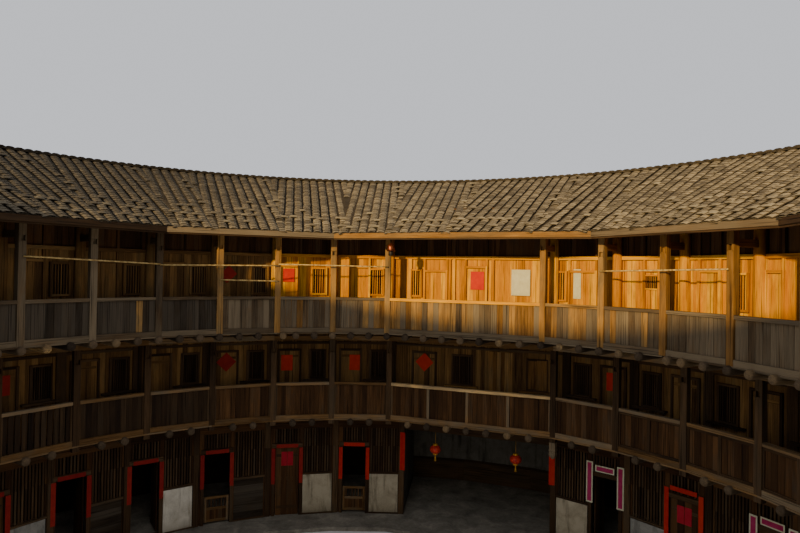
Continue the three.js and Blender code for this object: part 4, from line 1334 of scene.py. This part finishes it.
LOOSE_ROWS = ((3, 0.55), (7, 0.70), (11, 0.25), (16, 0.06), (23, 0.05), (30, 0.04))
SLOPES = ("inner", INNER_SIDE, LOOSE_ROWS), ("outer", OUTER_SIDE, LOOSE_ROWS[:2])
for name, side, rows_likely in SLOPES:
    lay(f"{name}_tiles_left", tiled(side, rows_likely, 0, RUNS // 2))
    lay(f"{name}_tiles_right", tiled(side, rows_likely, RUNS // 2, RUNS))

# %% [markdown]
# ## Ridge, fascias and rafters
# Tiles stacked along the ridge weigh it down. A straight board closes each length of the inner
# eave. Rafters run under both slopes, with their ends hidden by the boards.

# %% Ridge and eaves
RIDGE_TILES = 330
EAVE_WOOD = {3: GREY_FIR, 4: BROWN_FIR, 5: GREY_FIR}

ridge = []
for i in range(RIDGE_TILES):
    angle = i * FULL_TURN / RIDGE_TILES
    for lift, wide in ((0.0, 0.30), (0.045, 0.20)):
        place = polar(RIDGE, angle + lift * 0.2, RIDGE_TOP + lift - 0.01)
        ridge.append((TILE, turned(place, angle + chance.normal(0, 0.02), (0.24, wide, 0.10))))
lay("ridge_tiles", dress(CLAY, ridge))


def eave_boards():
    """A board along each length of the eave, and the lath behind its foot."""
    pieces = []
    for i, ends in enumerate(zip(CORNERS, CORNERS[1:])):
        board = round_the_ring(EAVE_CORNER - 0.02, ends, 8.445, 0.035, 0.13)
        lath = round_the_ring(EAVE_CORNER + 0.03, ends, 8.37, 0.07, 0.06)
        pieces += dress(EAVE_WOOD.get(i, DARK_FIR), board) + dress(DARK_FIR, lath)
    return pieces


def outer_boards():
    copies = []
    for n in range(POSTS):
        span = (post_angle(n + 1) - post_angle(n)) / outer_steps(n)
        angles = [post_angle(n) + span * i for i in range(outer_steps(n) + 1)]
        copies += round_the_ring(OUTER_EAVE - 0.01, angles, 8.335, 0.04, 0.15)
    return dress(DARK_FIR, copies)


lay("eave_boards", eave_boards())
lay("outer_eave_boards", outer_boards())


# %% Rafters
RAFTER_DROP, OUTER_RAFTER_FROM = 0.02, 14.35
OUTER_FALL = (RIDGE_TOP - OUTER_TOP) / (OUTER_EAVE - RIDGE)


def inner_rafter(angle):
    return [polar(radius, angle, under_roof(radius, angle) - RAFTER_DROP)
            for radius in (eave_radius(angle) + 0.05, RIDGE - 0.1)]


def outer_rafter(angle):
    under_ridge = RIDGE_TOP - ROOF_DEPTH
    return [polar(radius, angle, under_ridge - (radius - RIDGE) * OUTER_FALL - RAFTER_DROP)
            for radius in (outer_reach(angle) - 0.04, OUTER_RAFTER_FROM)]


for name, count, ends in (("inner", 180, inner_rafter), ("outer", 300, outer_rafter)):
    angles = [(i + 0.5) * FULL_TURN / count for i in range(count)]
    rafters = [between(LEVEL, *ends(angle), 0.07, 0.055) for angle in angles]
    lay(f"{name}_rafters", dress(DARK_FIR, rafters))
for node in ("roof_inner_left", "roof_inner_right", "roof_outer_left", "roof_outer_right"):
    finish_node(node, PAN)

# %% [markdown]
# ## Earth wall, floor and hall walls
# These are the packed shapes themselves, with their finishes. The ground floor gets a curb of long
# granite blocks along its edge, each with a worn upper edge.

# %% Finishes on the packed walls
CURB, BLOCK = (8.7, post_angle), 0.84

for sector in SECTORS:
    finish_node(f"earth_wall_{sector}", EARTH)
for node, finish in (("ground_floor", STONE), ("gate_frame", STONE),
                     ("hall_side_wall_left", HALL_LIME), ("hall_side_wall_right", HALL_LIME)):
    finish_node(node, finish)


def curb():
    copies = []
    for n in range(POSTS):
        bay = Bay(CURB, n)
        wide = 2 * bay.half
        count = max(1, round(wide / BLOCK))
        for i in range(count):
            x0, x1 = -bay.half + wide * i / count, -bay.half + wide * (i + 1) / count
            z = 0.056 + chance.uniform(-0.003, 0.003)
            copies.append(bay.level(x0 + 0.004, x1 - 0.004, 0.125, z, 0.108, 0.26))
    return dress(STONE, copies)


lay("terrace_curb", curb())

# %% [markdown]
# ## The ground-floor rooms
# Each room has a slatted window over a low panel, and a door beside it with more slats above. The
# panels are plastered or boarded. The fronts are laid in the same lengths as the packed ones, which
# are split beside each doorway whose leaf turns.

# %% Where the window and the door are in a ground-floor bay
PANELS = {9: SLATE_FIR, 10: WHITE_LIME, 11: SLATE_FIR, 12: CREAM_LIME, 13: CREAM_LIME,
          15: CREAM_LIME, 16: GREY_LIME, 17: CREAM_LIME}
OTHER_PANELS = (CREAM_LIME, SLATE_FIR, CREAM_LIME, GREY_LIME, SLATE_FIR)
FOOT_1, DOOR_HEAD, HEAD_1, TOP_1 = 0.105, 2.15, 2.70, 3.055
SLAT_SPACING, SLAT = 0.076, 0.045


def ground_plan(bay):
    """The window's ends and the door's ends. The wide bays beside the hall have wider windows."""
    beside = HALL - bay.n if bay.n < HALL else bay.n - HALL
    extra = 0.1 if beside <= WIDE_BAYS else 0.0
    return bay.from_hall(0.12, 0.88 + extra), bay.from_hall(1.0 + extra, 1.72 + extra)


def low_panel(bay, a, b):
    """The panel under the window: plaster on most, boards on some, as the photograph shows."""
    finish = PANELS.get(bay.n, OTHER_PANELS[bay.n % 5])
    if finish == SLATE_FIR:
        return dress(finish, bay.planks(a, b, -0.005, 0.14, 1.30, 0.21, 0.03))
    return dress(finish, (SHEET, bay.place((a + b) / 2, -0.035, 0.72, (b - a + 0.02, 0.05, 1.16))))


for end, (x0, x1) in zip(("window", "door"), ground_plan(Bay(FRONT_1, HALL - 1))):
    print("left of the hall, the", end, "is", round(x1 - x0, 2), "m wide at", round(x0, 2))


# %% The front of a ground-floor bay
def ground_low(n, x_from=-math.inf, x_to=math.inf):
    """The front of one bay up to the door head, between two places along it."""
    bay = Bay(FRONT_1, n)
    (a, b), (c, d) = ground_plan(bay)
    pieces = []
    if x_from <= a and b <= x_to:
        pieces += low_panel(bay, a, b)
        pieces += dress(DARK_FIR, bay.level(a - 0.04, b + 0.04, -0.02, 1.335, 0.055, 0.09),
                        bay.slats(a, b, 0, 1.36, DOOR_HEAD, SLAT_SPACING, SLAT, 0.03),
                        bay.level(a - 0.04, b + 0.04, -0.02, 0.125, 0.05, 0.09))
    edges = sorted(edge for edge in (a, b, c, d, -bay.half, bay.half)
                   if x_from - 1e-6 <= edge <= x_to + 1e-6)
    for x0, x1 in zip(edges, edges[1:]):
        centre = (x0 + x1) / 2
        if not a < centre < b and not c < centre < d and x1 - x0 > 0.02:
            pieces += dress(PANEL_FIR, bay.boards(x0, x1, 0, 0.11, DOOR_HEAD, 0.16, 0.05))
    jambs = [bay.upright(x, -0.02, FOOT_1, DOOR_HEAD, 0.09, 0.10) for x in (c - 0.045, d + 0.045)
             if x_from <= x <= x_to]
    return pieces + dress(DARK_FIR, jambs)


def ground_high(n):
    """Above the door head: slats over window and door, and the head board."""
    bay = Bay(FRONT_1, n)
    (a, b), (c, d) = ground_plan(bay)
    pieces = dress(DARK_FIR, bay.slats(a, b, 0, DOOR_HEAD, HEAD_1, SLAT_SPACING, SLAT),
                   bay.slats(c, d, 0, 2.27, HEAD_1, SLAT_SPACING, SLAT),
                   bay.level(c - 0.09, d + 0.09, -0.02, 2.21, 0.115, 0.11))
    edges = [-bay.half, *sorted((a, b, c, d)), bay.half]
    for x0, x1 in zip(edges[::2], edges[1::2]):
        pieces += dress(PANEL_FIR, bay.boards(x0, x1, 0, 2.152, 2.72, 0.16, 0.05))
    return pieces + dress(PANEL_FIR, bay.planks(-bay.half, bay.half, 0, HEAD_1, TOP_1, 0.18, 0.05))


def ground_post(n, z0, z1):
    return UPRIGHT, at_post(FRONT_1, n, (z0 + z1) / 2, (0.16, 0.16, z1 - z0))


print("a ground-floor front is", round(TOP_1 - FOOT_1, 2), "m high")


# %% Fixed leaves, thresholds and standing leaves
TURNING = {13: "half_gate_left_1", 12: "door_left_2", 11: "half_gate_left_3",
           8: "door_left_6", 16: "door_right_2"}
OPEN, OPEN_PLANKS, OPEN_PLANK = (10, 9, 15), 4, 0.17


def doorway(n):
    """A threshold, and a leaf that is shut or stands open. The leaves that turn come later."""
    if n in TURNING:
        return []
    bay = Bay(FRONT_1, n)
    _, (c, d) = ground_plan(bay)
    pieces = dress(DARK_FIR, bay.level(c, d, 0, 0.13, 0.055, 0.16))
    if n not in OPEN:
        return pieces + dress(PANEL_FIR, plank_door(bay, c + 0.012, d - 0.012, 0.0, 0.17, 2.145))
    x, size = d - 0.02 if n < HALL else c + 0.02, (0.03, OPEN_PLANK - 0.005, 1.93)
    inwards = [0.15 + (i + 0.5) * OPEN_PLANK for i in range(OPEN_PLANKS)]
    return pieces + dress(PANEL_FIR, [(UPRIGHT, bay.place(x, out, 1.13, size)) for out in inwards])


print("fixed leaves stand open in bays", OPEN)

# %% The ground-floor fronts, piece by piece as they are packed
LOW_FRONTS = {"left_1": (14, 14), "left_2": (13, 13), "left_3": (12, 12), "left_4": (9, 11),
              "right_1": (15, 16)}
FULL_FRONTS = {"left_5": (0, 8), "right_2": (17, 29)}
HEADS = {"left": (8, 12), "hall_left": (12, 14), "right": (15, 17)}


def door_middle(n):
    _, (c, d) = ground_plan(Bay(FRONT_1, n))
    return (c + d) / 2


def front(first, last, top, bay_front):
    """Posts first to last with the bays between, on to the middle of a doorway at either end."""
    pieces = dress(DARK_FIR, [ground_post(n, FOOT_1, top) for n in range(first, last + 1)])
    for n in range(first, last):
        pieces += bay_front(n) + doorway(n)
    if first not in (0, HALL + 1):
        pieces += ground_low(first - 1, x_from=door_middle(first - 1))
    if last not in (HALL, GATE_BAY):
        pieces += ground_low(last, x_to=door_middle(last))
    return pieces


for part, (first, last) in LOW_FRONTS.items():
    lay(f"ground_rooms_{part}", front(first, last, DOOR_HEAD, ground_low),
        replaces=[f"ground_front_{part}"])
for part, (first, last) in FULL_FRONTS.items():
    pieces = front(first, last, TOP_1, lambda n: ground_low(n) + ground_high(n))
    if last == GATE_BAY:
        over_gate = Bay(FRONT_1, GATE_BAY).planks(-2.4, 2.4, 0, HEAD_1, TOP_1, 0.18, 0.06)
        pieces += dress(PANEL_FIR, over_gate)
    lay(f"ground_rooms_{part}", pieces, replaces=[f"ground_front_{part}"])
for part, (first, last) in HEADS.items():
    bays = range(first, last)
    posts = [n + 1 if n < HALL else n for n in bays]
    pieces = [piece for n in bays for piece in ground_high(n)]
    pieces += dress(DARK_FIR, [ground_post(n, 2.153, TOP_1) for n in posts])
    lay(f"ground_heads_{part}", pieces, replaces=[f"ground_front_head_{part}"])
hall_front = Bay(FRONT_1, HALL)
beam_half = hall_front.half - 0.08
beam = hall_front.planks(-beam_half, beam_half, 0, HEAD_1, TOP_1, 0.18, 0.07)
lay("hall_beam", dress(DARK_FIR, beam), replaces=["ground_front_head_hall"])

# %% [markdown]
# ## Leaves that turn
# Three plank leaves swing into their rooms and two half gates swing out. Each rides on its own body
# and keeps inside the packed leaf, so that it clears its posts all the way round.

# %% Turning leaves and half gates
LEAF_PLANKS, LEAF_1 = 4, (0.115, 2.135)


def half_gate(bay, a, b):
    """Two stiles and three rails, with boards below and open slats above."""
    rails = [bay.level(a, b, 0, z, 0.07, 0.028) for z in (0.205, 0.55, 0.86)]
    stiles = [bay.upright(x, 0, 0.165, 0.895, 0.07, 0.03) for x in (a + 0.035, b - 0.035)]
    infill = bay.boards(a + 0.06, b - 0.06, 0.002, 0.23, 0.54, 0.12, 0.012)
    infill += bay.slats(a + 0.06, b - 0.06, 0.002, 0.56, 0.85, 0.10, 0.03, 0.016)
    return dress(RAIL_FIR, rails, stiles) + dress(PANEL_FIR, infill)


def leaf(bay, a, b):
    """Four planks with thin battens, two on the court's side and three on the room's."""
    middles = [a + (i + 0.5) * (b - a) / LEAF_PLANKS for i in range(LEAF_PLANKS)]
    wide = (b - a) / LEAF_PLANKS - 0.004
    leaf_planks = [bay.upright(x, 0.002, *LEAF_1, wide, 0.026) for x in middles]
    battens = [bay.level(a + 0.03, b - 0.03, -0.0145, z, 0.08, 0.007) for z in (0.35, 1.9)]
    battens += [bay.level(a + 0.03, b - 0.03, 0.0165, z, 0.08, 0.005) for z in (0.35, 1.1, 1.9)]
    return dress(PANEL_FIR, leaf_planks) + dress(DARK_FIR, battens)


for n, body in TURNING.items():
    bay = Bay(FRONT_1, n)
    _, (c, d) = ground_plan(bay)
    a, b = (c + 0.017, d - 0.015) if n > HALL else (c + 0.015, d - 0.017)
    pieces = half_gate(bay, a, b) if body.startswith("half") else leaf(bay, a, b)
    lay(f"{body}_boards", pieces, body=body, replaces=[body])

# %% [markdown]
# ## Papers on the doors
# Couplets hang as two long strips beside a door and a short strip over it. Squares are pasted on
# the leaves, straight or turned on a corner. They are sheets, a little proud in the middle.

# %% Papers
PAPER, ON_CORNER = 0.006, math.pi / 4
STRIPS = ((13, 1.12, 2.12, RED_PAPER), (12, 1.05, 2.15, DEEP_PAPER), (10, 1.1, 2.15, DEEP_PAPER),
          (11, 1.15, 2.15, DEEP_PAPER), (9, 1.05, 2.15, DEEP_PAPER), (8, 1.1, 2.15, DEEP_PAPER),
          (15, 1.45, 2.5, PINK_PAPER, PALE_PAPER, 2.37), (16, 1.2, 2.4, RED_PAPER, None, 2.4),
          (17, 1.3, 2.4, PINK_PAPER, PALE_PAPER, 2.37), (19, 1.1, 2.15, DEEP_PAPER),
          (6, 1.1, 2.15, DEEP_PAPER))
HALL_STRIPS = ((-2.22, 1.45, 2.60), (2.22, 1.62, 2.64))


def sheet(bay, x, out, z, wide, high, turn=0.0):
    turning = Matrix.Rotation(turn, 4, "Y")
    return SHEET, bay.place(x, out, z) @ turning @ Matrix.Diagonal((wide, PAPER, high, 1))


def couplets(n, low, high, finish, border=None, over=2.2):
    """Strips on both door posts of a ground-floor room, and one over the door."""
    bay = Bay(FRONT_1, n)
    _, (c, d) = ground_plan(bay)
    z, tall, centre = (low + high) / 2, high - low, (c + d) / 2
    pieces = []
    for x in (c - 0.05, d + 0.05):
        if border:
            pieces += dress(border, sheet(bay, x, -0.076, z, 0.18, tall + 0.05))
        pieces += dress(finish, sheet(bay, x, -0.08, z, 0.11, tall - 0.03))
    if border:
        pieces += dress(border, sheet(bay, centre, -0.086, over, 0.50, 0.17))
    long = 0.44 if border else d - c - 0.08
    return pieces + dress(finish, sheet(bay, centre, -0.09, over, long, 0.11))


def door_square(n, z, wide, high):
    """Two narrow sheets side by side on a leaf, as the photograph shows."""
    bay, centre = Bay(FRONT_1, n), door_middle(n)
    return [sheet(bay, centre + side * wide / 4, -0.0225, z, wide / 2 - 0.012, high)
            for side in (-1, 1)]


papers = [paper for strip in STRIPS for paper in couplets(*strip)]
papers += dress(RED_PAPER, [sheet(Bay(FRONT_1, HALL), x, -0.088, (low + high) / 2, 0.16, high - low)
                            for x, low, high in HALL_STRIPS])
lay("ground_papers", papers)
for n, body in ((12, "door_left_2"), (16, "door_right_2")):
    square = dress(CRIMSON_PAPER, door_square(n, 1.8, 0.36, 0.42))
    lay(f"{body}_paper", square, body=body)


# %% Papers on the upper floors
SECOND_SHEETS = ((13, 1.16, RED_PAPER), (12, 1.38, RED_PAPER), (15, 1.30, RED_PAPER),
                 (18, 1.30, DEEP_PAPER), (8, 1.30, DEEP_PAPER), (22, 1.30, RED_PAPER),
                 (5, 1.30, DEEP_PAPER))
THIRD_SHEETS = ((12, 1.29, RED_PAPER, 0), (11, 1.31, DEEP_PAPER, ON_CORNER),
                (18, 1.07, RED_PAPER, ON_CORNER), (7, 1.07, DEEP_PAPER, 0), (22, 1.07, RED_PAPER, 0))
HALL_SHEETS = ((0.24, 7.30, 0.38, 0.50, RED_PAPER), (1.43, 7.27, 0.50, 0.70, PALE_PAPER))


def from_hall_sheet(ring, n, s0, s1, *size):
    """A sheet midway between two places measured from the post nearer the hall."""
    bay = Bay(ring, n)
    x0, x1 = bay.from_hall(s0, s1)
    return sheet(bay, (x0 + x1) / 2, -0.03, *size)


def upper_papers():
    """Sheets on the doors of the second and third floors."""
    pieces = dress(RED_PAPER, sheet(Bay(FRONT_2, HALL), -1.55, -0.045, 4.80, 0.40, 0.40, ON_CORNER))
    for n, s, finish in SECOND_SHEETS:
        pieces += dress(finish, from_hall_sheet(FRONT_2, n, s, s, 4.70, 0.34, 0.47))
    turned_sheet = from_hall_sheet(FRONT_2, 11, 0.95, 1.65, 4.78, 0.40, 0.40, ON_CORNER)
    pieces += dress(DEEP_PAPER, turned_sheet)
    for x, z, wide, high, finish in HALL_SHEETS:
        pieces += dress(finish, sheet(Bay(GALLERY_2, HALL), x, -0.03, z, wide, high))
    pieces += dress(PALE_PAPER, from_hall_sheet(GALLERY_2, 15, 0.52, 0.72, 7.27, 0.20, 0.76))
    for n, s, finish, turn in THIRD_SHEETS:
        pieces += dress(finish, from_hall_sheet(GALLERY_2, n, s, s, 7.36, 0.32, 0.38, turn))
    return pieces


lay("upper_papers", upper_papers())

# %% [markdown]
# ## Lanterns
# Two silk lanterns hang at the front of the hall: a ribbed globe between two gilt caps, with a
# tassel. The globe is a sphere whose every second meridian is drawn in a little, as the silk
# draws in between its ribs. A copper lantern hangs from the eave above the hall's left post.

# %% Silk lanterns
MERIDIANS, GLOBE_RADIUS, DRAWN_IN, FLATTENED = 32, 0.168, 0.955, 0.80
LANTERN_X, LANTERN_Y = 1.2, R_FRONT * math.cos(GROUND_HALL_BAY / 2)


def globe():
    piece = start("uv_sphere", segments=MERIDIANS, ring_count=14, radius=GLOBE_RADIUS)
    shape = bmesh.from_edit_mesh(piece.data)
    for point in shape.verts:
        turn = math.atan2(point.co.y, point.co.x) / FULL_TURN * MERIDIANS
        if round(turn) % 2 and abs(point.co.z) < 0.165:
            point.co.x *= DRAWN_IN
            point.co.y *= DRAWN_IN
        point.co.z *= FLATTENED
    bmesh.update_edit_mesh(piece.data)
    return master(done(30))


def lantern_cap(radius, height):
    piece = start("cylinder", vertices=20, radius=radius, depth=height)
    pick(piece, lambda f: abs(f.normal.z) > FACING)
    bpy.ops.mesh.inset(thickness=radius * 0.15)
    bpy.ops.transform.resize(value=(1, 1, 1.3))
    return master(done(40))


def tassel():
    start("cone", vertices=14, radius1=0.03, radius2=0.012, depth=0.20)
    bpy.ops.mesh.subdivide(number_cuts=1)
    return master(done(40))


GLOBE, CAP, TASSEL = globe(), lantern_cap(0.075, 0.035), tassel()


def hang(shape, x, z, scale=(1, 1, 1)):
    return shape, Matrix.Translation((x, LANTERN_Y, z)) @ Matrix.Diagonal((*scale, 1))


for side, x in (("left", -LANTERN_X), ("right", LANTERN_X)):
    pieces = dress(SILK, hang(GLOBE, x, 2.185))
    pieces += dress(GILT, hang(CAP, x, 2.325), hang(CAP, x, 2.045), hang(TASSEL, x, 1.93),
                    hang(COLUMN, x, 2.33, (0.006, 0.006, 0.365)))
    lay(f"silk_lantern_{side}", pieces, replaces=[f"hall_lantern_{side}"])

# %% Copper lantern under the eave
COPPER_PLACE = (-1.75, 6.97, 8.07)
BELL_STEPS = ((0.98, 0.06), (0.9, 0.05), (0.62, 0.035), (0.5, 0.03))


def draw_out(piece, side, steps):
    """Draws the top or the foot out step by step. A step is a width and a length."""
    for width, lift in steps:
        pick(piece, facing(2, side))
        grow(0, 0, side * lift)
        bpy.ops.transform.resize(value=(width, width, 1))


def bell():
    """A lantern's copper shade: wide at the foot, drawn in to a neck."""
    piece = start("cylinder", vertices=24, radius=0.11, depth=0.05)
    draw_out(piece, 1, BELL_STEPS)
    pick(piece, facing(2, -1))
    bpy.ops.mesh.inset(thickness=0.012)
    grow(0, 0, 0.08)
    return master(done(40))


place = Matrix.Translation(COPPER_PLACE)
hook = Matrix.Translation((*COPPER_PLACE[:2], 8.2)) @ Matrix.Diagonal((0.012, 0.012, 0.2, 1))
glass = place @ Matrix.Translation((0, 0, -0.08)) @ Matrix.Diagonal((0.9, 0.9, 2.6, 1))
lantern = dress(COPPER, (bell(), place)) + dress(IRON, (COLUMN, hook), (CAP, glass))
lay("copper_lantern", lantern)

# %% [markdown]
# ## Drying poles
# Bamboo poles run from post to post along the third-floor gallery. A pole is a slim tube that
# swells a little at each joint of the cane, made by drawing rings of a cylinder outwards.

# %% Bamboo poles
JOINTS, SWELL, POLE = [i / 9 - 0.5 for i in range(1, 9)], 1.22, 0.018
POLES = (((8, 7.88, 7.70), (10, 7.88, 7.60)), ((10, 7.89, 7.58), (12, 7.88, 7.62)),
         ((12, 7.88, 7.66), (14, 7.88, 7.64)), ((11, 7.90, 7.22), (12, 7.90, 7.20)),
         ((16, 7.88, 7.60), (18, 7.88, 7.66)), ((5, 7.88, 7.7), (7, 7.88, 7.66)))


def cane():
    piece = start("cylinder", vertices=8, radius=1, depth=1, rotation=(0, math.pi / 2, 0))
    for joint in JOINTS:
        for shift in (-0.006, 0, 0.006):
            cut_across((joint + shift, 0, 0), (1, 0, 0))
    shape = bmesh.from_edit_mesh(piece.data)
    for point in shape.verts:
        if min(abs(point.co.x - joint) for joint in JOINTS) < 0.002:
            point.co.y *= SWELL
            point.co.z *= SWELL
    bmesh.update_edit_mesh(piece.data)
    return master(done(40), fibre=0)


CANE = cane()
poles = []
for pair in POLES:
    ends = [polar(radius, post_angle(n), z) for n, radius, z in pair]
    poles.append(between(CANE, *ends, POLE, POLE))
lay("drying_poles", dress(BAMBOO, poles))

# %% [markdown]
# ## Inside the hall
# The back of the hall is lime-washed above a boarded dado, and a carved drop hangs under the
# gallery post at its right. The drop is a short post whose foot is drawn in step by step.

# %% Hall back and the carved drop
BACK_LAYERS = ((HALL_LIME, 13.15, 1.9, 0.03, 2.25), (DARK_FIR, 13.12, 0.45, 0.03, 0.68),
               (DARK_FIR, 13.10, 0.82, 0.05, 0.07))
DROP_STEPS = ((1.15, 0.05), (0.8, 0.03), (1.2, 0.05), (0.85, 0.07), (0.6, 0.05), (0.5, 0.03))

ends = facets(HALL, 3)
lay("hall_back", [piece for pair in zip(ends, ends[1:]) for finish, radius, *size in BACK_LAYERS
                  for piece in dress(finish, round_the_ring(radius, pair, *size))])


def drop():
    piece = start("cube", size=0.16)
    draw_out(piece, -1, DROP_STEPS)
    bpy.ops.mesh.select_all(action="SELECT")
    bpy.ops.mesh.bevel(offset=0.006, segments=1)
    return master(done())


lay("carved_drop", dress(GREY_FIR, (drop(), at_post(GALLERY_2, HALL + 1, 3.0))))

# %% [markdown]
# ## Windows in the earth wall
# Outside, each window has a broad band of white lime round it and a small casement with bars. The
# wall leans in as it rises and turns a little at the middle of every window, so the bands are set
# on the two faces of the wall that meet there.

# %% Bands of lime round the windows
EARTH_SLOPE, WALL_FOOT = 0.3 / 9.0906, 14.5
HALF_WINDOW, WINDOW_HIGH, BAND, BAND_DEPTH, RECESS, BARS = 0.31, 0.72, 0.17, 0.05, 0.17, 6
SILL_SECOND, SILL_THIRD = 4.25, 6.95


def on_wall(angle, side, x, z):
    """A frame on the wall's face beside a window's middle: X along, Y out, Z up the wall."""
    radius = WALL_FOOT - z * EARTH_SLOPE
    corner, following = polar(radius, angle, z), polar(radius, angle + side * BAY / 2, z)
    along = (following - corner).normalized() * side
    outward = Vector((along.y, -along.x, 0))
    if outward.dot(corner) < 0:
        outward = -outward
    turn = Matrix((along, outward, along.cross(outward))).transposed().to_4x4()
    lean = Matrix.Rotation(EARTH_SLOPE, 4, along)
    return Matrix.Translation(corner + along * x) @ lean @ turn


def lime_band(angle, sill):
    """The band's upright and its two level lengths, on each face of the wall."""
    half, high = HALF_WINDOW, WINDOW_HIGH
    tall, long = (BAND, BAND_DEPTH, high + 2 * BAND, 1), (half + 0.01, BAND_DEPTH, BAND, 1)
    copies = []
    for side in (-1, 1):
        face = on_wall(angle, side, side * (half + BAND / 2), sill + high / 2)
        copies.append((UPRIGHT, face @ Matrix.Diagonal(tall)))
        for z in (sill - BAND / 2, sill + high + BAND / 2):
            face = on_wall(angle, side, side * half / 2, z)
            copies.append((LEVEL, face @ Matrix.Diagonal(long)))
    return copies


print("the band leaves", 2 * HALF_WINDOW, "by", WINDOW_HIGH, "m for the window")


# %% Casements, and where the windows are
def casement(angle, sill):
    """Two stiles, six bars and two rails, set back in the opening."""
    half, high = HALF_WINDOW, WINDOW_HIGH
    radius = WALL_FOOT - (sill + high / 2) * EARTH_SLOPE - RECESS
    centre = polar(radius, angle, sill + high / 2)
    uprights = [(x, (0.06, 0.07, high)) for x in (-half + 0.03, half - 0.03)]
    uprights += [(-half + 0.06 + (i + 0.5) * (2 * half - 0.12) / BARS, (0.028, 0.03, high - 0.1))
                 for i in range(BARS)]
    rails = [polar(radius, angle, z) for z in (sill + 0.03, sill + high - 0.03)]
    return ([(UPRIGHT, turned(centre + sideways(angle) * x, angle, size)) for x, size in uprights]
            + [(LEVEL, turned(rail, angle, (2 * half - 0.1, 0.07, 0.06))) for rail in rails])


windows = []
for n in range(POSTS):
    number = min(abs(n - HALL), abs(n - POSTS - HALL))
    if number % 2 == 0 or n == GATE_BAY:
        windows.append(((post_angle(n) + post_angle(n + 1)) / 2, SILL_THIRD))
    if number % 4 == 3 and n != GATE_BAY:
        windows.append(((post_angle(n) + post_angle(n + 1)) / 2, SILL_SECOND))
bands = [piece for window in windows for piece in lime_band(*window)]
casements = [piece for window in windows for piece in casement(*window)]
lay("window_surrounds", dress(WHITE_LIME, bands))
lay("window_casements", dress(DARK_FIR, casements))

# %% [markdown]
# ## The gate
# Two thick plank leaves stand open behind the stone frame. Iron studs in rows hold the planks to
# their battens, and each leaf has a ring.

# %% Gate leaves, studs and rings
GATE_BACK, GATE_X, GATE_PLANKS, GATE_PLANK = -(14.35 - 0.42), 0.75 + 0.26 - 0.035, 5, 0.15
GATE_BATTENS = (0.4, 1.2, 2.05)


def iron_stud():
    start("uv_sphere", segments=10, ring_count=6, radius=0.022)
    bpy.ops.transform.resize(value=(0.5, 1, 1))
    return master(done(60))


def gate_ring():
    bpy.ops.object.select_all(action="DESELECT")
    bpy.ops.mesh.primitive_torus_add(major_radius=0.07, minor_radius=0.009, major_segments=20,
                                     minor_segments=8, rotation=(0, math.pi / 2, 0))
    bpy.ops.object.transform_apply(location=True, rotation=True, scale=True)
    bpy.ops.object.mode_set(mode="EDIT")
    bpy.ops.mesh.select_all(action="SELECT")
    bpy.ops.transform.translate(value=(0, 0, -0.05))
    return master(done(60))


def on_gate(shape, way, x, along, z, scale=(1, 1, 1)):
    """A copy on a gate leaf, at x across it and at a distance along it."""
    place = Matrix.Translation((way * (GATE_X + x), GATE_BACK + along, z))
    return shape, place @ Matrix.Diagonal((*scale, 1))


STUD, RING = iron_stud(), gate_ring()
STEPS = [(i + 0.5) * GATE_PLANK for i in range(GATE_PLANKS)]
for side, way in (("left", 1), ("right", -1)):
    pieces = dress(DARK_FIR, [on_gate(UPRIGHT, way, 0.005, step, 1.22, (0.055, 0.145, 2.43))
                              for step in STEPS])
    for z in GATE_BATTENS:
        pieces += dress(PANEL_FIR, on_gate(DEEP, way, -0.027, 0.375, z, (0.014, 0.72, 0.12)))
        pieces += dress(IRON, [on_gate(STUD, way, -0.034, step, z) for step in STEPS])
    pieces += dress(IRON, on_gate(RING, way, -0.04, 0.64, 1.1))
    lay(f"gate_planks_{side}", pieces, replaces=[f"gate_leaf_{side}"])

# %% [markdown]
